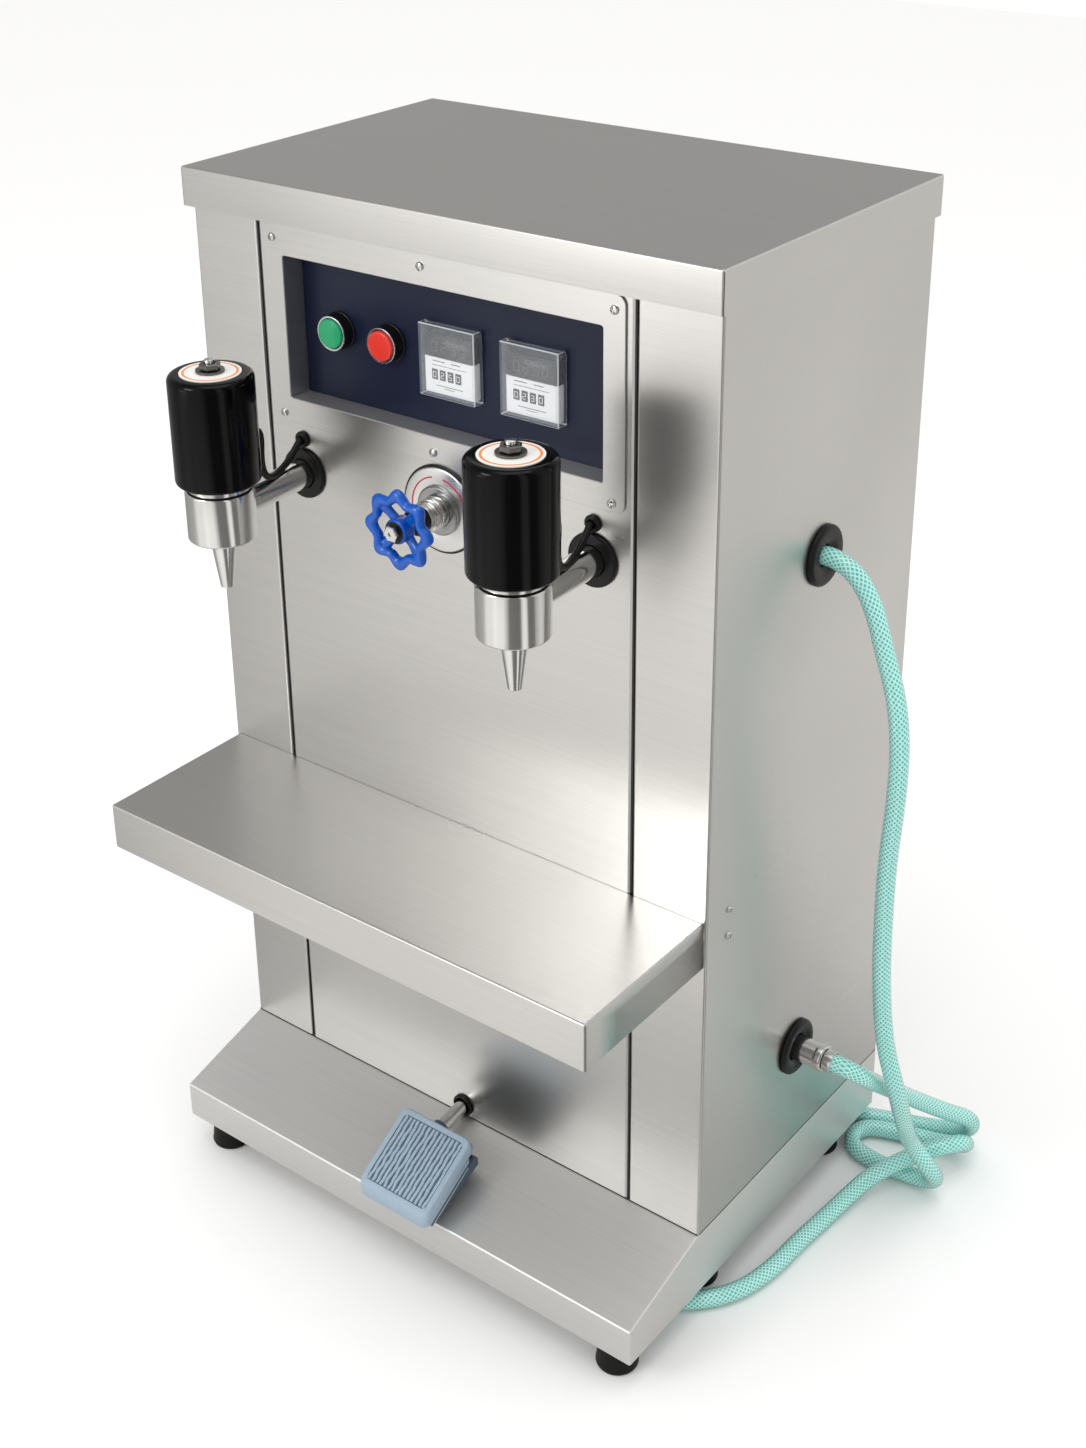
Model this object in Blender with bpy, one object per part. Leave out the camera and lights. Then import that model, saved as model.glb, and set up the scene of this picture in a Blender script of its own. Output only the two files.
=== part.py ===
# Oil filling machine: a foot-switched bench filler with two solenoid nozzles in a folded steel cabinet.
# Metres, +Z up, +X to the right of someone facing the machine, +Y to its back, floor at Z 0.
import math

import bmesh
import bpy
from mathutils import Matrix, Vector

# Driving dimensions of the cabinet
WIDTH = 0.500
DEPTH = 0.300
HEIGHT = 0.9104
SHEET = 0.0015
BEND = 0.0025
TOUCH = 0.0003
SEAM = 0.0008
FLOOR_GAP = 0.030
BASE_TOP = 0.0912
APRON_REACH = 0.0967
APRON_LIP_TOP = 0.064
BASE_FLANGE = 0.050
SHELF_REACH = 0.152
SHELF_WIDTH = 0.493
SHELF_TOP = 0.3955
SHELF_LIP = 0.041
BRACKET_REACH = 0.062
LID_HEIGHT = 0.0317
LID_FRONT = 0.008
LID_SIDE = 0.0035
LID_BACK = 0.002
FRONT_WRAP = 0.070
PANEL_SEAM = 0.0016
HEM = 0.012
BACK_RETURN = 0.022

# Driving dimensions of the control recess
PLATE_HALF_WIDTH = 0.172
PLATE_BELOW_LID = 0.0017
PLATE_HEIGHT = 0.163
PLATE_CORNER = 0.008
WINDOW_HALF_WIDTH = 0.153
WINDOW_SILL = 0.021
WINDOW_HEIGHT = 0.117
WINDOW_CORNER = 0.002
RECESS_DEPTH = 0.020
RECESS_WALL = 0.0012
RECESS_FLANGE = 0.012
INSTRUMENT_SHEET = 0.002
CONTROL_RISE = 0.058
BUTTON_X = (-0.115, -0.063)
BUTTON_RADIUS = 0.0155
BUTTON_CAP_RADIUS = 0.0120
BUTTON_BARREL_RADIUS = 0.011
BUTTON_STAND = 0.012
BUTTON_TRAVEL = 0.004
TIMER_X = (0.0015, 0.0795)
TIMER_RISE = 0.0558
TIMER_FACE = 0.048
TIMER_BODY = 0.0444
TIMER_BODY_DEPTH = 0.060
COVER_WIDTH = 0.054
COVER_HEIGHT = 0.0576
COVER_STAND = 0.0115
COVER_WALL = 0.0015

# Driving dimensions of the nozzles and their arms
NOZZLE_X = 0.144
NOZZLE_REACH = 0.095
NOZZLE_TIP_DROP = 0.065
NOZZLE_BODY_DROP = 0.022
NOZZLE_BODY_RISE = 0.0245
NOZZLE_BODY_RADIUS = 0.02725
ARM_BELOW_PLATE = 0.042
ARM_RADIUS = 0.0095
ARM_WALL = 0.0015
COIL_RADIUS = 0.0335
COIL_RISE = 0.113
COIL_EDGE = 0.005
CORE_RADIUS = 0.0085
PLUNGER_RADIUS = 0.0062
PLUNGER_TRAVEL = 0.004
LEAD_RISE = 0.029
LEAD_RADIUS = 0.0028
LEAD_GROMMET_RADIUS = 0.0068
ARM_GROMMET_RADIUS = 0.0215

# Driving dimensions of the flow valve
VALVE_BELOW_PLATE = 0.0382
VALVE_BACK = 0.024
VALVE_NECK_RADIUS = 0.017
DIAL_RADIUS = 0.0363
BONNET_RADIUS = 0.012
STEM_RADIUS = 0.004
WHEEL_RADIUS = 0.0325
WHEEL_LOBES = 8
WHEEL_LOBE_HEIGHT = 0.0020
WHEEL_RIM_RADIUS = 0.0042
WHEEL_STAND = 0.050
WHEEL_DISH = 0.004
HUB_RADIUS = 0.0085

# Driving dimensions of the foot pedal
PEDAL_X = 0.018
PEDAL_WIDTH = 0.076
PEDAL_BACK = 0.0525
PEDAL_BACK_Z = 0.125
PEDAL_NOSE = 0.116
PEDAL_NOSE_Z = 0.087
PEDAL_SLAB = 0.011
PEDAL_LIP = 0.017
PEDAL_CHEEK = 0.0035
PEDAL_PIVOT = 0.101
PEDAL_PIVOT_Z = 0.077
PIVOT_RADIUS = 0.0025
HOUSING_BACK = 0.041
HOUSING_BACK_Z = 0.090
HOUSING_HEIGHT = 0.0085
PEDAL_ARM_X = 0.003
PEDAL_ARM_Z = 0.1025
PEDAL_ARM_DROP = 0.16
PEDAL_ARM_RADIUS = 0.0065

# Driving dimensions of the pump, its pipes and the hose
HOSE_RADIUS = 0.00775
HOSE_GROMMET_RADIUS = 0.025
HOSE_TOP_Z = 0.6487
HOSE_Y = 0.0745
SPIGOT_Y = 0.0705
SPIGOT_Z = 0.1921
SPIGOT_RADIUS = 0.011
SPIGOT_REACH = 0.030
GEAR_MODULE = 0.003
GEAR_TEETH = 12
GEAR_WIDTH = 0.024
GEAR_BACKLASH = 0.0005
PIPE_RADIUS = 0.0085
MOTOR_RADIUS = 0.052
MOTOR_LENGTH = 0.096

# Places that follow from the driving dimensions
FRONT = (SHELF_REACH - DEPTH - LID_BACK) / 2
BACK = FRONT + DEPTH
SIDE = WIDTH / 2
CABINET_BOTTOM = BASE_TOP + SEAM
PANEL_TOP = HEIGHT - SHEET - TOUCH
WRAP_EDGE = SIDE - FRONT_WRAP
INSTRUMENT_FACE = FRONT + RECESS_DEPTH
NOZZLE_Y = FRONT - NOZZLE_REACH
PLATE_TOP = HEIGHT - LID_HEIGHT - PLATE_BELOW_LID
PLATE_BOTTOM = PLATE_TOP - PLATE_HEIGHT
WINDOW_BOTTOM = PLATE_BOTTOM + WINDOW_SILL
WINDOW_TOP = WINDOW_BOTTOM + WINDOW_HEIGHT
CONTROL_Z = WINDOW_BOTTOM + CONTROL_RISE
TIMER_CENTRE = WINDOW_BOTTOM + TIMER_RISE
VALVE_Z = PLATE_BOTTOM - VALVE_BELOW_PLATE
ARM_Z = PLATE_BOTTOM - ARM_BELOW_PLATE
LEAD_Z = ARM_Z + LEAD_RISE
NOZZLE_TIP_Z = ARM_Z - NOZZLE_TIP_DROP
NOZZLE_BODY_BOTTOM = ARM_Z - NOZZLE_BODY_DROP
NOZZLE_BODY_TOP = ARM_Z + NOZZLE_BODY_RISE
COIL_TOP = ARM_Z + COIL_RISE
UP = Vector((0, 0, 1))


def material(name, colour, metallic, roughness, alpha=1.0):
    """A plain Principled material in the sub-part's own colour."""
    made = bpy.data.materials.new(name)
    made.use_nodes = True
    shader = made.node_tree.nodes["Principled BSDF"]
    shader.inputs["Base Color"].default_value = (*colour, 1.0)
    shader.inputs["Metallic"].default_value = metallic
    shader.inputs["Roughness"].default_value = roughness
    shader.inputs["Alpha"].default_value = alpha
    made.diffuse_color = (*colour, alpha)
    return made


def place(name, bm, finish, origin=(0, 0, 0)):
    """Turns a bmesh drawn in world space into an object whose origin is at the given point."""
    bmesh.ops.remove_doubles(bm, verts=bm.verts, dist=1e-6)
    bmesh.ops.recalc_face_normals(bm, faces=bm.faces)
    bmesh.ops.translate(bm, verts=bm.verts, vec=-Vector(origin))
    mesh = bpy.data.meshes.new(name)
    bm.to_mesh(mesh)
    bm.free()
    mesh.shade_smooth()
    mesh.set_sharp_from_angle(angle=math.radians(35))
    made = bpy.data.objects.new(name, mesh)
    made.location = origin
    mesh.materials.append(finish)
    bpy.context.collection.objects.link(made)
    return made


def combine(target, tool_bm, label, operation="DIFFERENCE"):
    """Adds a Boolean with a hidden wire-display tool object to the target."""
    bmesh.ops.recalc_face_normals(tool_bm, faces=tool_bm.faces)
    mesh = bpy.data.meshes.new(label)
    tool_bm.to_mesh(mesh)
    tool_bm.free()
    tool = bpy.data.objects.new(label, mesh)
    tool.hide_render = True
    tool.display_type = "WIRE"
    bpy.context.collection.objects.link(tool)
    step = target.modifiers.new(label, "BOOLEAN")
    step.operation = operation
    step.solver = "EXACT"
    step.use_self = True
    step.object = tool


def box(bm, low, high):
    """An axis-aligned block between two corners."""
    low = Vector(low)
    high = Vector(high)
    scale = Matrix.Diagonal((*(high - low), 1.0))
    bmesh.ops.create_cube(bm, size=1.0, matrix=Matrix.Translation((low + high) / 2) @ scale)


def rod(bm, start, end, radius, sides=20, end_radius=None):
    """A closed round bar or cone from one point to another."""
    start = Vector(start)
    run = Vector(end) - start
    turn = run.to_track_quat("Z", "Y").to_matrix().to_4x4()
    where = Matrix.Translation(start + run / 2) @ turn
    top = radius if end_radius is None else end_radius
    bmesh.ops.create_cone(
        bm, cap_ends=True, segments=sides, radius1=radius, radius2=top, depth=run.length, matrix=where
    )


def prism(bm, outline, axis, low, high):
    """A flat outline in the two other axes, extruded along X, Y or Z between two stations."""
    order = {"X": (2, 0, 1), "Y": (0, 2, 1), "Z": (0, 1, 2)}[axis]
    corners = []
    for point in outline:
        values = (point[0], point[1], low)
        corners.append(bm.verts.new([values[place_in] for place_in in order]))
    face = bm.faces.new(corners)
    grown = bmesh.ops.extrude_face_region(bm, geom=[face])
    moved = [item for item in grown["geom"] if isinstance(item, bmesh.types.BMVert)]
    step = {"X": (high - low, 0, 0), "Y": (0, high - low, 0), "Z": (0, 0, high - low)}[axis]
    bmesh.ops.translate(bm, verts=moved, vec=step)


def turned(bm, profile, centre, axis=UP, sides=20):
    """Spins a closed profile of (radius, height) points about the axis through the centre."""
    made = bmesh.new()
    corners = [made.verts.new((radius, 0, height)) for radius, height in profile]
    edges = [made.edges.new(pair) for pair in zip(corners, corners[1:])]
    if profile[0][0] > 0 or profile[-1][0] > 0:
        edges.append(made.edges.new((corners[-1], corners[0])))
    bmesh.ops.spin(
        made, geom=corners + edges, cent=(0, 0, 0), axis=(0, 0, 1), angle=math.tau, steps=sides, use_merge=True
    )
    bmesh.ops.remove_doubles(made, verts=made.verts, dist=1e-6)
    turn = Vector(axis).to_track_quat("Z", "Y").to_matrix().to_4x4()
    made.transform(Matrix.Translation(centre) @ turn)
    mesh = bpy.data.meshes.new("turned")
    made.to_mesh(mesh)
    made.free()
    bm.from_mesh(mesh)
    bpy.data.meshes.remove(mesh)


def rounded_rectangle(left, right, bottom, top, radius, steps=3):
    """The corner points of a rectangle with rounded corners."""
    points = []
    corners = ((right, top, 0), (left, top, 90), (left, bottom, 180), (right, bottom, 270))
    for x, y, start in corners:
        cx = x - math.copysign(radius, x - (left + right) / 2)
        cy = y - math.copysign(radius, y - (bottom + top) / 2)
        for step in range(steps + 1):
            angle = math.radians(start + 90 * step / steps)
            points.append((cx + radius * math.cos(angle), cy + radius * math.sin(angle)))
    return points


def folded(path, thickness, bend, steps=2):
    """Outline of a sheet folded along a path; the thickness goes to the left of the direction of travel."""
    near = []
    far = []
    count = len(path)
    for index, point in enumerate(path):
        here = Vector(point)
        before = (here - Vector(path[index - 1])).normalized() if index else None
        after = (Vector(path[index + 1]) - here).normalized() if index < count - 1 else None
        if before is None or after is None:
            along = after or before
            near.append(here)
            far.append(here + thickness * Vector((-along.y, along.x)))
            continue
        left_turn = before.cross(after) > 0
        side = 1 if left_turn else -1
        normal_in = side * Vector((-before.y, before.x))
        normal_out = side * Vector((-after.y, after.x))
        radius_near = bend if left_turn else bend - thickness
        radius_far = bend - thickness if left_turn else bend
        bisector = (normal_in + normal_out).normalized()
        centre = here + bisector * radius_near / bisector.dot(normal_in)
        start = math.atan2(-normal_in.y, -normal_in.x)
        sweep = math.atan2(before.cross(after), before.dot(after))
        for step in range(steps + 1):
            angle = start + sweep * step / steps
            ray = Vector((math.cos(angle), math.sin(angle)))
            near.append(centre + radius_near * ray)
            far.append(centre + radius_far * ray)
    return near + far[::-1]


def apron_z(y):
    """Height of the base's sloping front apron at a distance behind the cabinet's front."""
    return BASE_TOP + (y - FRONT) * (BASE_TOP - APRON_LIP_TOP) / APRON_REACH


STEEL = material("brushed steel", (0.62, 0.61, 0.59), 0.9, 0.35)
DARK_STEEL = material("dark steel", (0.30, 0.30, 0.31), 0.9, 0.45)
BLACK_PLASTIC = material("black plastic", (0.012, 0.012, 0.014), 0.0, 0.25)
BLACK_RUBBER = material("black rubber", (0.02, 0.02, 0.02), 0.0, 0.7)
NAVY = material("navy enamel", (0.015, 0.020, 0.045), 0.0, 0.4)
GREEN = material("green button", (0.01, 0.35, 0.13), 0.0, 0.3)
RED = material("red button", (0.75, 0.04, 0.03), 0.0, 0.3)
CLEAR = material("clear acrylic", (0.9, 0.93, 0.95), 0.0, 0.05, 0.3)
BLUE = material("blue casting enamel", (0.0, 0.10, 0.62), 0.0, 0.25)
PEDAL_BLUE = material("blue grey rubber", (0.27, 0.38, 0.50), 0.0, 0.6)
HOSE_GREEN = material("braided hose", (0.08, 0.60, 0.52), 0.0, 0.25)
MOTOR_GREY = material("motor enamel", (0.10, 0.14, 0.18), 0.2, 0.5)
BRASS = material("brass", (0.55, 0.40, 0.15), 0.9, 0.35)


def cabinet():
    """Base tray, folded side, front and back panels, and the lid."""
    slope = math.atan2(BASE_TOP - APRON_LIP_TOP, APRON_REACH)
    nose = FRONT - APRON_REACH
    outer = bmesh.new()
    outline = [
        (nose, FLOOR_GAP), (nose, APRON_LIP_TOP), (FRONT, BASE_TOP), (BACK, BASE_TOP), (BACK, FLOOR_GAP),
    ]
    prism(outer, outline, "X", -SIDE, SIDE)
    tray = place("base_tray", outer, STEEL)
    inside_low = APRON_LIP_TOP + SHEET * math.tan(slope) - SHEET / math.cos(slope)
    flat_start = nose + (BASE_TOP - SHEET - APRON_LIP_TOP + SHEET / math.cos(slope)) / math.tan(slope)
    inner = bmesh.new()
    hollow = [
        (nose + SHEET, FLOOR_GAP + SHEET), (nose + SHEET, inside_low), (flat_start, BASE_TOP - SHEET),
        (BACK - SHEET, BASE_TOP - SHEET), (BACK - SHEET, FLOOR_GAP + SHEET),
    ]
    prism(inner, hollow, "X", SHEET - SIDE, SIDE - SHEET)
    combine(tray, inner, "base_hollow")
    opening = bmesh.new()
    low = (BASE_FLANGE - SIDE, nose + BASE_FLANGE, FLOOR_GAP - SHEET)
    high = (SIDE - BASE_FLANGE, BACK - BASE_FLANGE, FLOOR_GAP + 2 * SHEET)
    box(opening, low, high)
    combine(tray, opening, "base_opening")

    for side, name in ((1, "right_side_panel"), (-1, "left_side_panel")):
        seam = side * (WRAP_EDGE + PANEL_SEAM / 2)
        path = [
            (seam, FRONT + HEM), (seam, FRONT), (side * SIDE, FRONT),
            (side * SIDE, BACK), (side * (SIDE - BACK_RETURN), BACK),
        ]
        if side < 0:
            path.reverse()
        sheet = bmesh.new()
        prism(sheet, folded(path, SHEET, BEND), "Z", CABINET_BOTTOM, PANEL_TOP)
        panel = place(name, sheet, STEEL)
        holes = bmesh.new()
        for screw_y, screw_z in SHELF_SCREWS:
            start = (side * (SIDE - 0.01), screw_y, screw_z)
            rod(holes, start, (side * (SIDE + 0.01), screw_y, screw_z), 0.0028, 8)
        for bolt_x in SHELF_BOLTS:
            bolt = (side * bolt_x, FRONT - 0.01, SHELF_TOP - SHELF_LIP / 2)
            rod(holes, bolt, (side * bolt_x, FRONT + 0.01, SHELF_TOP - SHELF_LIP / 2), 0.0033, 8)
        if side > 0:
            for hose_y, hose_z in ((HOSE_Y, HOSE_TOP_Z), (SPIGOT_Y, SPIGOT_Z)):
                start = (SIDE - 0.01, hose_y, hose_z)
                rod(holes, start, (SIDE + 0.01, hose_y, hose_z), GROMMET_NECK + TOUCH, 20)
        combine(panel, holes, name + "_holes")

    half = WRAP_EDGE - PANEL_SEAM / 2
    sheet = bmesh.new()
    path = [(-half, FRONT + HEM), (-half, FRONT), (half, FRONT), (half, FRONT + HEM)]
    prism(sheet, folded(path, SHEET, BEND), "Z", CABINET_BOTTOM, PANEL_TOP)
    panel = place("front_panel", sheet, STEEL)
    holes = bmesh.new()
    cut_out = WINDOW_HALF_WIDTH + RECESS_WALL + TOUCH
    low = (-cut_out, FRONT - 0.01, WINDOW_BOTTOM - RECESS_WALL - TOUCH)
    box(holes, low, (cut_out, FRONT + 0.01, WINDOW_TOP + RECESS_WALL + TOUCH))
    combine(panel, holes, "window_opening")
    holes = bmesh.new()
    for hole_x, hole_z, radius in FRONT_HOLES:
        sides = 16 if radius > 0.004 else 8
        rod(holes, (hole_x, FRONT - 0.01, hole_z), (hole_x, FRONT + 0.01, hole_z), radius, sides)
    combine(panel, holes, "front_panel_holes")

    sheet = bmesh.new()
    reach = SIDE - SHEET - 2 * TOUCH
    box(sheet, (-reach, BACK - 2 * SHEET - TOUCH, CABINET_BOTTOM), (reach, BACK - SHEET - TOUCH, PANEL_TOP))
    place("back_panel", sheet, STEEL)

    lid = bmesh.new()
    reach = SIDE + LID_SIDE
    box(lid, (-reach, FRONT - LID_FRONT, HEIGHT - LID_HEIGHT), (reach, BACK + LID_BACK, HEIGHT))
    folds = [edge for edge in lid.edges if max(vert.co.z for vert in edge.verts) > HEIGHT - SHEET]
    bmesh.ops.bevel(lid, geom=folds, offset=0.002, segments=2, profile=0.5, affect="EDGES", material=-1)
    top = place("top_lid", lid, STEEL)
    hollow = bmesh.new()
    low = (SHEET - reach, FRONT - LID_FRONT + SHEET, HEIGHT - LID_HEIGHT - SHEET)
    box(hollow, low, (reach - SHEET, BACK + LID_BACK - SHEET / 2, HEIGHT - SHEET))
    combine(top, hollow, "lid_hollow")


def feet():
    """Six rubber feet whose studs pass up through the base tray's bottom flange."""
    profile = [
        (0, 0), (0.0170, 0), (0.0180, 0.002), (0.0150, FLOOR_GAP - TOUCH),
        (FOOT_STUD, FLOOR_GAP - TOUCH), (FOOT_STUD, FLOOR_GAP + 0.009), (0, FLOOR_GAP + 0.009),
    ]
    holes = bmesh.new()
    for row, foot_y in zip(("front", "middle", "rear"), FOOT_ROWS):
        for side, hand in ((-1, "left"), (1, "right")):
            foot_x = side * (SIDE - FOOT_INSET)
            bm = bmesh.new()
            turned(bm, profile, (foot_x, foot_y, 0), sides=16)
            place(f"{row}_{hand}_foot", bm, BLACK_RUBBER, (foot_x, foot_y, 0))
            start = (foot_x, foot_y, FLOOR_GAP - 0.005)
            rod(holes, start, (foot_x, foot_y, FLOOR_GAP + 0.005), FOOT_STUD + 0.0005, 8)
    combine(bpy.data.objects["base_tray"], holes, "foot_holes")


def shelf():
    """The filling shelf, the angle brackets that carry it inside the cabinet, and their screws."""
    half = SHELF_WIDTH / 2
    back = FRONT - TOUCH
    bm = bmesh.new()
    box(bm, (-half, FRONT - SHELF_REACH, SHELF_TOP - SHELF_LIP), (half, back, SHELF_TOP))
    folds = [
        edge for edge in bm.edges
        if max(vert.co.z for vert in edge.verts) > SHELF_TOP - SHEET
        and min(vert.co.y for vert in edge.verts) < back - SHEET
    ]
    bmesh.ops.bevel(bm, geom=folds, offset=0.002, segments=2, profile=0.5, affect="EDGES", material=-1)
    top = place("filling_shelf", bm, STEEL)
    hollow = bmesh.new()
    low = (SHEET - half, FRONT - SHELF_REACH + SHEET, SHELF_TOP - SHELF_LIP - SHEET)
    box(hollow, low, (half - SHEET, back - SHEET, SHELF_TOP - SHEET))
    combine(top, hollow, "shelf_hollow")
    holes = bmesh.new()
    bolt_z = SHELF_TOP - SHELF_LIP / 2
    for side in (-1, 1):
        for bolt_x in SHELF_BOLTS:
            rod(holes, (side * bolt_x, FRONT - 0.01, bolt_z), (side * bolt_x, FRONT + 0.01, bolt_z), 0.0033, 8)
    combine(top, holes, "shelf_bolt_holes")

    bm = bmesh.new()
    inner = SIDE - SHEET - TOUCH
    bar = FRONT + HEM + 2 * TOUCH
    path = [(-inner, FRONT + BRACKET_REACH), (-inner, bar), (inner, bar), (inner, FRONT + BRACKET_REACH)]
    prism(bm, folded(path, 0.003, 0.004), "Z", SHELF_TOP - SHELF_LIP, SHELF_TOP + 0.004)
    bracket = place("shelf_bracket", bm, STEEL)
    holes = bmesh.new()
    for side in (-1, 1):
        for screw_y, screw_z in SHELF_SCREWS:
            rod(holes, (side * (SIDE - 0.01), screw_y, screw_z), (side * SIDE, screw_y, screw_z), 0.0028, 8)
        for bolt_x in SHELF_BOLTS:
            start = (side * bolt_x, FRONT + 0.005, bolt_z)
            rod(holes, start, (side * bolt_x, FRONT + 0.03, bolt_z), 0.0033, 8)
    combine(bracket, holes, "bracket_holes")


def control_plates():
    """The faceplate with the folded-in walls of its window, and the instrument panel behind them."""
    bm = bmesh.new()
    outline = rounded_rectangle(-PLATE_HALF_WIDTH, PLATE_HALF_WIDTH, PLATE_BOTTOM, PLATE_TOP, PLATE_CORNER)
    prism(bm, outline, "Y", FRONT - TOUCH - SHEET, FRONT - TOUCH)
    plate = place("control_faceplate", bm, STEEL)
    back = INSTRUMENT_FACE - TOUCH
    wall = bmesh.new()
    low = (-WINDOW_HALF_WIDTH - RECESS_WALL, FRONT - SHEET, WINDOW_BOTTOM - RECESS_WALL)
    box(wall, low, (WINDOW_HALF_WIDTH + RECESS_WALL, back, WINDOW_TOP + RECESS_WALL))
    combine(plate, wall, "recess_wall", "UNION")
    window = bmesh.new()
    outline = rounded_rectangle(
        -WINDOW_HALF_WIDTH, WINDOW_HALF_WIDTH, WINDOW_BOTTOM, WINDOW_TOP, WINDOW_CORNER, 2
    )
    prism(window, outline, "Y", FRONT - 0.01, back + 0.01)
    combine(plate, window, "plate_window")
    holes = bmesh.new()
    for screw_x, screw_z in PLATE_SCREWS:
        rod(holes, (screw_x, FRONT - 0.01, screw_z), (screw_x, FRONT + 0.01, screw_z), 0.0021, 8)
    combine(plate, holes, "plate_screw_holes")

    bm = bmesh.new()
    low = (-WINDOW_HALF_WIDTH - RECESS_FLANGE, INSTRUMENT_FACE, WINDOW_BOTTOM - RECESS_FLANGE)
    high = (WINDOW_HALF_WIDTH + RECESS_FLANGE, INSTRUMENT_FACE + INSTRUMENT_SHEET, WINDOW_TOP + RECESS_FLANGE)
    box(bm, low, high)
    panel = place("instrument_panel", bm, NAVY)
    holes = bmesh.new()
    for button_x in BUTTON_X:
        start = (button_x, INSTRUMENT_FACE - 0.01, CONTROL_Z)
        rod(holes, start, (button_x, INSTRUMENT_FACE + 0.01, CONTROL_Z), BUTTON_BARREL_RADIUS + TOUCH, 20)
    half = TIMER_BODY / 2 + TOUCH
    for timer_x in TIMER_X:
        low = (timer_x - half, INSTRUMENT_FACE - 0.01, TIMER_MIDDLE - half)
        box(holes, low, (timer_x + half, INSTRUMENT_FACE + 0.01, TIMER_MIDDLE + half))
    combine(panel, holes, "instrument_holes")

def buttons():
    """Start and stop push buttons: a fixed bezel with its barrel, and the coloured plunger."""
    for button_x, name, finish in zip(BUTTON_X, ("start_button", "stop_button"), (GREEN, RED)):
        bm = bmesh.new()
        centre = (button_x, INSTRUMENT_FACE, CONTROL_Z)
        bore = BUTTON_CAP_RADIUS + 0.0004
        stem = 0.004
        floor = BUTTON_STAND - 0.010
        body = [
            (bore, BUTTON_STAND), (BUTTON_RADIUS - 0.001, BUTTON_STAND),
            (BUTTON_RADIUS, BUTTON_STAND - 0.0015),
            (BUTTON_RADIUS, TOUCH), (BUTTON_BARREL_RADIUS, TOUCH), (BUTTON_BARREL_RADIUS, -0.030),
            (stem + 0.0004, -0.030), (stem + 0.0004, floor), (bore, floor),
        ]
        turned(bm, body, centre, (0, -1, 0))
        place(name + "_body", bm, BLACK_PLASTIC)
        bm = bmesh.new()
        head = floor + BUTTON_TRAVEL + 0.0008
        cap = [
            (0, -0.026), (stem, -0.026), (stem, head), (BUTTON_CAP_RADIUS, head),
            (BUTTON_CAP_RADIUS, BUTTON_STAND + 0.0015), (BUTTON_CAP_RADIUS - 0.001, BUTTON_STAND + 0.0022),
            (0, BUTTON_STAND + 0.0026),
        ]
        turned(bm, cap, centre, (0, -1, 0))
        place(name + "_cap", bm, finish, centre)


def timers():
    """Two panel timers with clear covers hinged on ears above their bezels."""
    for timer_x, name in zip(TIMER_X, ("left_timer", "right_timer")):
        half = TIMER_FACE / 2
        bm = bmesh.new()
        face_y = INSTRUMENT_FACE - BEZEL_STAND
        outline = rounded_rectangle(timer_x - half, timer_x + half, BEZEL_BOTTOM, BEZEL_TOP, 0.0015, 2)
        prism(bm, outline, "Y", face_y, INSTRUMENT_FACE - TOUCH)
        body = place(name, bm, BLACK_PLASTIC)
        grown = bmesh.new()
        reach = TIMER_BODY / 2
        low = (timer_x - reach, INSTRUMENT_FACE - 0.003, TIMER_MIDDLE - reach)
        box(grown, low, (timer_x + reach, INSTRUMENT_FACE + TIMER_BODY_DEPTH, TIMER_MIDDLE + reach))
        combine(body, grown, name + "_housing", "UNION")
        ears = bmesh.new()
        for side in (-1, 1):
            inner = timer_x + side * (half - EAR_WIDTH)
            outer = timer_x + side * (half - TOUCH)
            low_x, high_x = sorted((inner, outer))
            rod(ears, (low_x, HINGE_Y, HINGE_Z), (high_x, HINGE_Y, HINGE_Z), EAR_RADIUS, 12)
            ear_low = (low_x, HINGE_Y - EAR_RADIUS, BEZEL_TOP - 0.002)
            box(ears, ear_low, (high_x, HINGE_Y + EAR_RADIUS, HINGE_Z))
        combine(body, ears, name + "_ears", "UNION")
        bore = bmesh.new()
        start = (timer_x - half - 0.01, HINGE_Y, HINGE_Z)
        rod(bore, start, (timer_x + half + 0.01, HINGE_Y, HINGE_Z), 0.00125, 8)
        combine(body, bore, name + "_bore")

        bm = bmesh.new()
        front = INSTRUMENT_FACE - COVER_STAND
        back = INSTRUMENT_FACE - TOUCH
        bottom = TIMER_CENTRE - COVER_HEIGHT / 2
        top = TIMER_CENTRE + COVER_HEIGHT / 2
        swing = top - HINGE_Z
        outline = [(front, bottom), (back, bottom)]
        for step in range(5):
            angle = math.radians(90 * step / 4)
            outline.append((HINGE_Y + swing * math.cos(angle), HINGE_Z + swing * math.sin(angle)))
        outline.append((front, top))
        half = COVER_WIDTH / 2
        prism(bm, outline, "X", timer_x - half, timer_x + half)
        cover = place(name + "_cover", bm, CLEAR, (timer_x, HINGE_Y, HINGE_Z))
        inner = half - COVER_WALL
        hollow = bmesh.new()
        low = (timer_x - inner, front + COVER_WALL, bottom + COVER_WALL)
        box(hollow, low, (timer_x + inner, back + 0.01, top - COVER_WALL))
        combine(cover, hollow, name + "_cover_hollow")
        notch = bmesh.new()
        box(notch, (timer_x - inner, HINGE_Y, HINGE_Z), (timer_x + inner, back + 0.01, top + 0.01))
        combine(cover, notch, name + "_cover_notch")
        pins = bmesh.new()
        for side in (-1, 1):
            start = (timer_x + side * (inner + COVER_WALL / 2), HINGE_Y, HINGE_Z)
            inner_x = timer_x + side * (TIMER_FACE / 2 - EAR_WIDTH + 0.0005)
            rod(pins, start, (inner_x, HINGE_Y, HINGE_Z), 0.00115, 8)
        combine(cover, pins, name + "_cover_pins", "UNION")


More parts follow.
